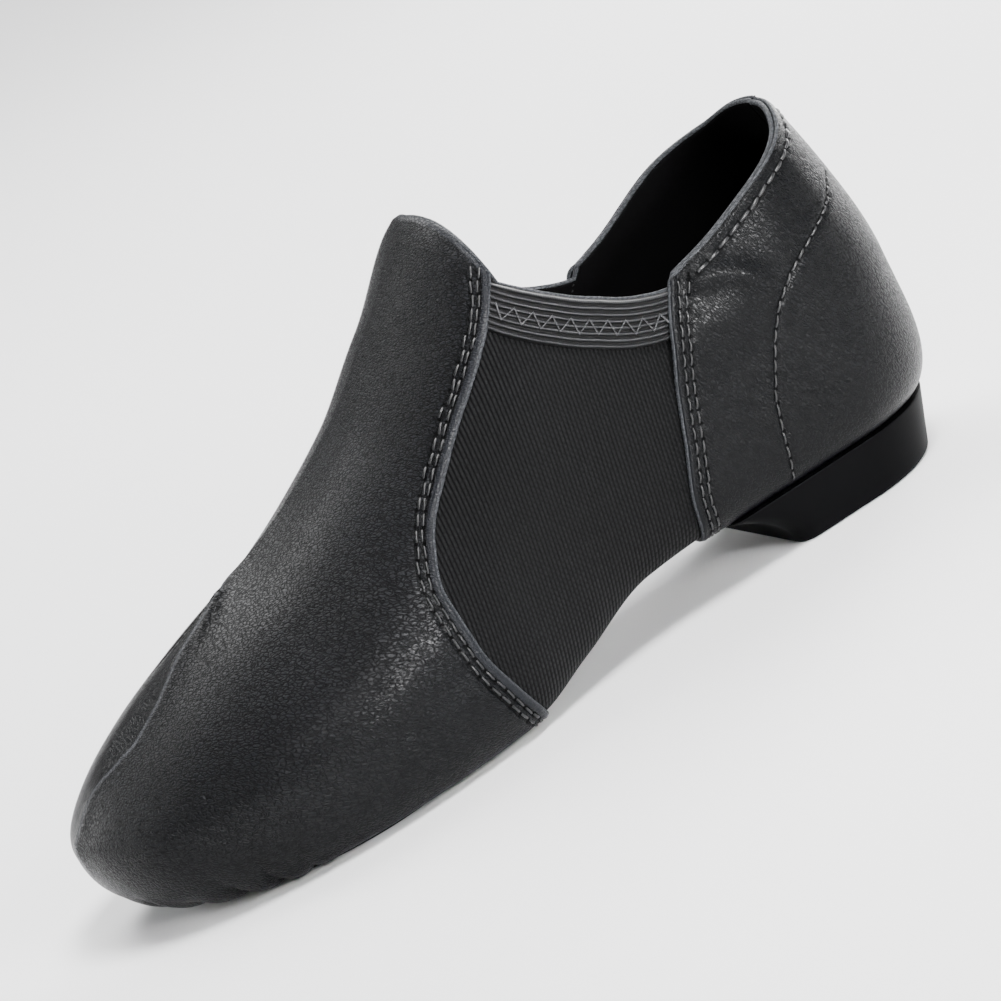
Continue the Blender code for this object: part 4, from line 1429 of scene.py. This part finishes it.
def make_pad():
    """Rubber oval with a smooth border, a stitched groove, and a grip of small points."""
    count, half = 200, (PAD_LENGTH + PAD_WIDTH) / 4
    rings = []
    for share in np.linspace(0.05, 0.78, 24):
        rings.append(pad_points(share, STUD_HEIGHT, count))
    for gap in np.linspace(5.5, 0.6, 26) * MM:
        groove = PAD_GROOVE * bump_line(gap - PAD_BORDER, 0.55 * MM)
        rise = STUD_HEIGHT * (1 - step_up(PAD_BORDER - gap, 0, 1.2 * MM)) + groove
        rings.append(pad_points(1 - gap / half, min(rise, PAD_PROUD - 0.1 * MM), count))
    for turn in np.linspace(0, np.pi / 2, 6):
        share = 1 - PAD_FILLET * (1 - np.sin(turn)) / half
        rings.append(pad_points(share, PAD_FILLET * (1 - np.cos(turn)), count))
    top = PAD_PROUD - 0.02 * MM
    rings += [pad_points(share, top, count) for share in (1.0, 0.9, 0.7, 0.5, 0.3, 0.1)]
    low, high = (pad_points(0, height, 1)[0] for height in (STUD_HEIGHT, top))
    piece = closed_rings("forefoot_pad", rings, low, high)
    skin = Surface(piece.data)
    path = pad_points(1 - PAD_BORDER / half, 0.3 * MM, 240)
    path = np.concatenate([path, path[:1]])
    places, normals = skin.lay(stitch_places(path, STITCH_PITCH))
    grow(piece, STUDS, Pitch=2.6 * MM, Stud=2.5 * MM, Top=0.25 * MM, Height=0.95 * STUD_HEIGHT, Sides=6,
         Centre=(PAD_PLACE - LENGTH / 2, float(middle_line(PAD_PLACE)), STUDS_FROM),
         Half_Length=PAD_LENGTH / 2 - 3.3 * MM, Half_Width=PAD_WIDTH / 2 - 3.5 * MM, Squareness=2.0,
         Material=PAD_LOOK)
    done(piece, None, "sole_rubber", "forefoot_sole")
    stitched("sole_stitches", [(places + normals * 0.05 * MM, normals)], "sole_rubber",
             length=1.9 * MM, thickness=0.2 * MM, proud=0.12 * MM)


make_pad()


# Heel

def heel_plan(share, margin):
    """Plan of the heel at a share of its height: round at the back, straight across at the front."""
    back = HEEL_BACK + (HEEL_TOP_BACK - HEEL_BACK) * share + margin
    front = HEEL_FRONT + (HEEL_TOP_FRONT - HEEL_FRONT) * share ** HEEL_HOLLOW - margin
    half = (HEEL_BASE_WIDTH + (HEEL_TOP_WIDTH - HEEL_BASE_WIDTH) * share) / 2 - margin
    corner = HEEL_CORNER - min(margin, 0.6 * HEEL_CORNER)
    arc = np.linspace(0, np.pi, 61)
    rear = np.column_stack([back + half - half * np.sin(arc), -half * np.cos(arc)])
    bend = np.linspace(0, np.pi / 2, 9)
    left = np.column_stack([front - corner + corner * np.sin(bend), half - corner + corner * np.cos(bend)])
    right = np.column_stack([left[::-1, 0], -left[::-1, 1]])
    side_x = np.linspace(rear[-1, 0], left[0, 0], 16)[1:-1]
    near = np.column_stack([side_x, np.full(len(side_x), half)])
    front_y = np.linspace(left[-1, 1], right[0, 1], 20)[1:-1]
    face = np.column_stack([np.full(len(front_y), front), front_y])
    far = np.column_stack([side_x[::-1], np.full(len(side_x), -half)])
    return np.concatenate([rear, near, left, face, right, far])


HEEL_TOP = 12.42 * MM
FILLET, TREAD = 0.9 * MM, 0.35 * MM
# Margins of the rings, in mm, over the tread, up the lip (with their heights) and over the top
TREAD_MARGINS = (18, 12, 8, 5, 3, 1.9)
LIP = ((11.2, 0.0), (11.8, 0.0), (12.2, 0.0), (12.36, 0.06), (12.42, 0.2))
TOP_MARGINS = (3, 8, 14, 20)


def make_heel():
    """Moulded rubber heel: rounded bottom edge, a thin lip under the seat, small grip points below."""

    def ring(height, margin):
        share = np.clip(height / HEEL_HEIGHT, 0, 1)
        plan = heel_plan(share, margin)
        return np.column_stack([plan, np.full(len(plan), height)]) - MIDDLE

    rings = [ring(TREAD, margin * MM) for margin in TREAD_MARGINS]
    rings += [ring(0.02 * MM + FILLET * (1 - np.cos(turn)), FILLET * (1 - np.sin(turn)))
              for turn in np.linspace(0, np.pi / 2, 8)]
    rings += [ring(height, 0) for height in np.linspace(1.3, 10.6, 20) * MM]
    rings += [ring(height * MM, margin * MM) for height, margin in LIP]
    rings += [ring(HEEL_TOP, margin * MM) for margin in TOP_MARGINS]
    centre = (HEEL_BACK + HEEL_FRONT) / 2 - LENGTH / 2
    piece = closed_rings("heel_block", rings, (centre, 0, TREAD), (centre, 0, HEEL_TOP))
    grow(piece, STUDS, Pitch=3.0 * MM, Stud=2.2 * MM, Top=0.6 * MM, Height=0.3 * MM, Sides=8,
         Centre=(centre, 0, STUDS_FROM),
         Half_Length=(HEEL_FRONT - HEEL_BACK) / 2 - 3 * MM, Half_Width=HEEL_BASE_WIDTH / 2 - 3 * MM,
         Squareness=3.5, Material=HEEL_LOOK)
    return done(piece, None, "heel_rubber", "heel")


make_heel()


# Floor, light and camera

def make_floor():
    mesh = bpy.data.meshes.new("floor")
    mesh.from_pydata([(-6, -6, 0), (6, -6, 0), (6, 6, 0), (-6, 6, 0)], [], [(0, 1, 2, 3)])
    made, _, shader, _ = material("pale_floor")
    fill(shader, {"Base Color": (0.86, 0.86, 0.865, 1), "Roughness": 0.9})
    mesh.materials.append(made)
    show("floor", mesh)


def stand(piece, place, across, up, back):
    """Puts a lamp or the camera at a place, with its three axes."""
    piece.matrix_world = Matrix([*np.column_stack([across, up, back, place]).tolist(), (0, 0, 0, 1)])


def softbox(name, place, target, width, height, power, spread):
    data = bpy.data.lights.new(name, "AREA")
    data.shape = "RECTANGLE"
    data.size, data.size_y, data.energy = width, height, power
    data.spread = np.radians(spread)
    place, target = np.array(place, float), np.array(target, float)
    back = (place - target) / np.linalg.norm(place - target)
    across = np.cross((0, 0, 1), back)
    across /= np.linalg.norm(across)
    stand(show(name, data), place, across, np.cross(back, across), back)


CAMERA_TURN, CAMERA_RISE, CAMERA_ROLL = np.radians([17.50, 14.82, 27.78])
AIM = np.array([0, 0, 0.045])
PHOTO_SIZE, PHOTO_FOCAL = 1001, 3410
AIM_IN_PHOTO, SHOE_IN_PHOTO = np.array([304.5, 407.1]), np.array([336.0, 420.0])
ZOOM = 1.45


def make_camera():
    """The photo's angle, rolled as there, a metre away, with the one shoe in the middle."""
    a, e, r = CAMERA_TURN, CAMERA_RISE, CAMERA_ROLL
    back = np.array([np.sin(a) * np.cos(e), np.cos(a) * np.cos(e), np.sin(e)])
    level = np.array([-np.cos(a), np.sin(a), 0])
    rise = np.cross(back, level)
    across = np.cos(r) * level - np.sin(r) * rise
    up = np.sin(r) * level + np.cos(r) * rise
    data = bpy.data.cameras.new("camera")
    data.sensor_width = 36
    data.lens = PHOTO_FOCAL / PHOTO_SIZE * data.sensor_width * ZOOM
    shift = (SHOE_IN_PHOTO - AIM_IN_PHOTO) * ZOOM / PHOTO_SIZE
    data.shift_x, data.shift_y = shift[0], -shift[1]
    data.clip_start, data.clip_end = 0.01, 50
    camera = show("camera", data)
    stand(camera, AIM + back, across, up, back)
    bpy.context.scene.camera = camera


make_floor()
# Name, place and target in metres, width and height in metres, watts, and spread in degrees
LIGHTS = (
    ("overhead", (-0.25, 0.38, 0.95), (0, 0, 0.05), 0.4, 0.32, 24, 180),
    ("front", (-0.2, 1.05, 0.55), (0, 0, 0.05), 0.9, 0.16, 12, 180),
    ("low_right", (-0.33, 1.1, 0.24), (-0.05, 0, 0.07), 0.28, 0.16, 0.6, 26),
    ("back_left", (0.75, -0.75, 0.35), (0, 0, 0.05), 0.3, 0.5, 8, 180),
    ("back_right", (-0.8, -0.62, 0.3), (0, 0, 0.05), 0.35, 0.5, 15, 180),
    ("sky", (0.1, -0.55, 1.25), (0, 0, 0), 0.6, 0.6, 13, 180),
    ("far_floor", (-0.5, -2.0, 1.7), (-0.45, -1.7, 0), 1.6, 1.6, 60, 180),
)
for light in LIGHTS:
    softbox(*light)
world = bpy.data.worlds.new("studio")
world.use_nodes = True
fill(world.node_tree.nodes["Background"], {"Color": (0.95, 0.97, 1.0, 1), "Strength": 0.08})
bpy.context.scene.world = world
make_camera()
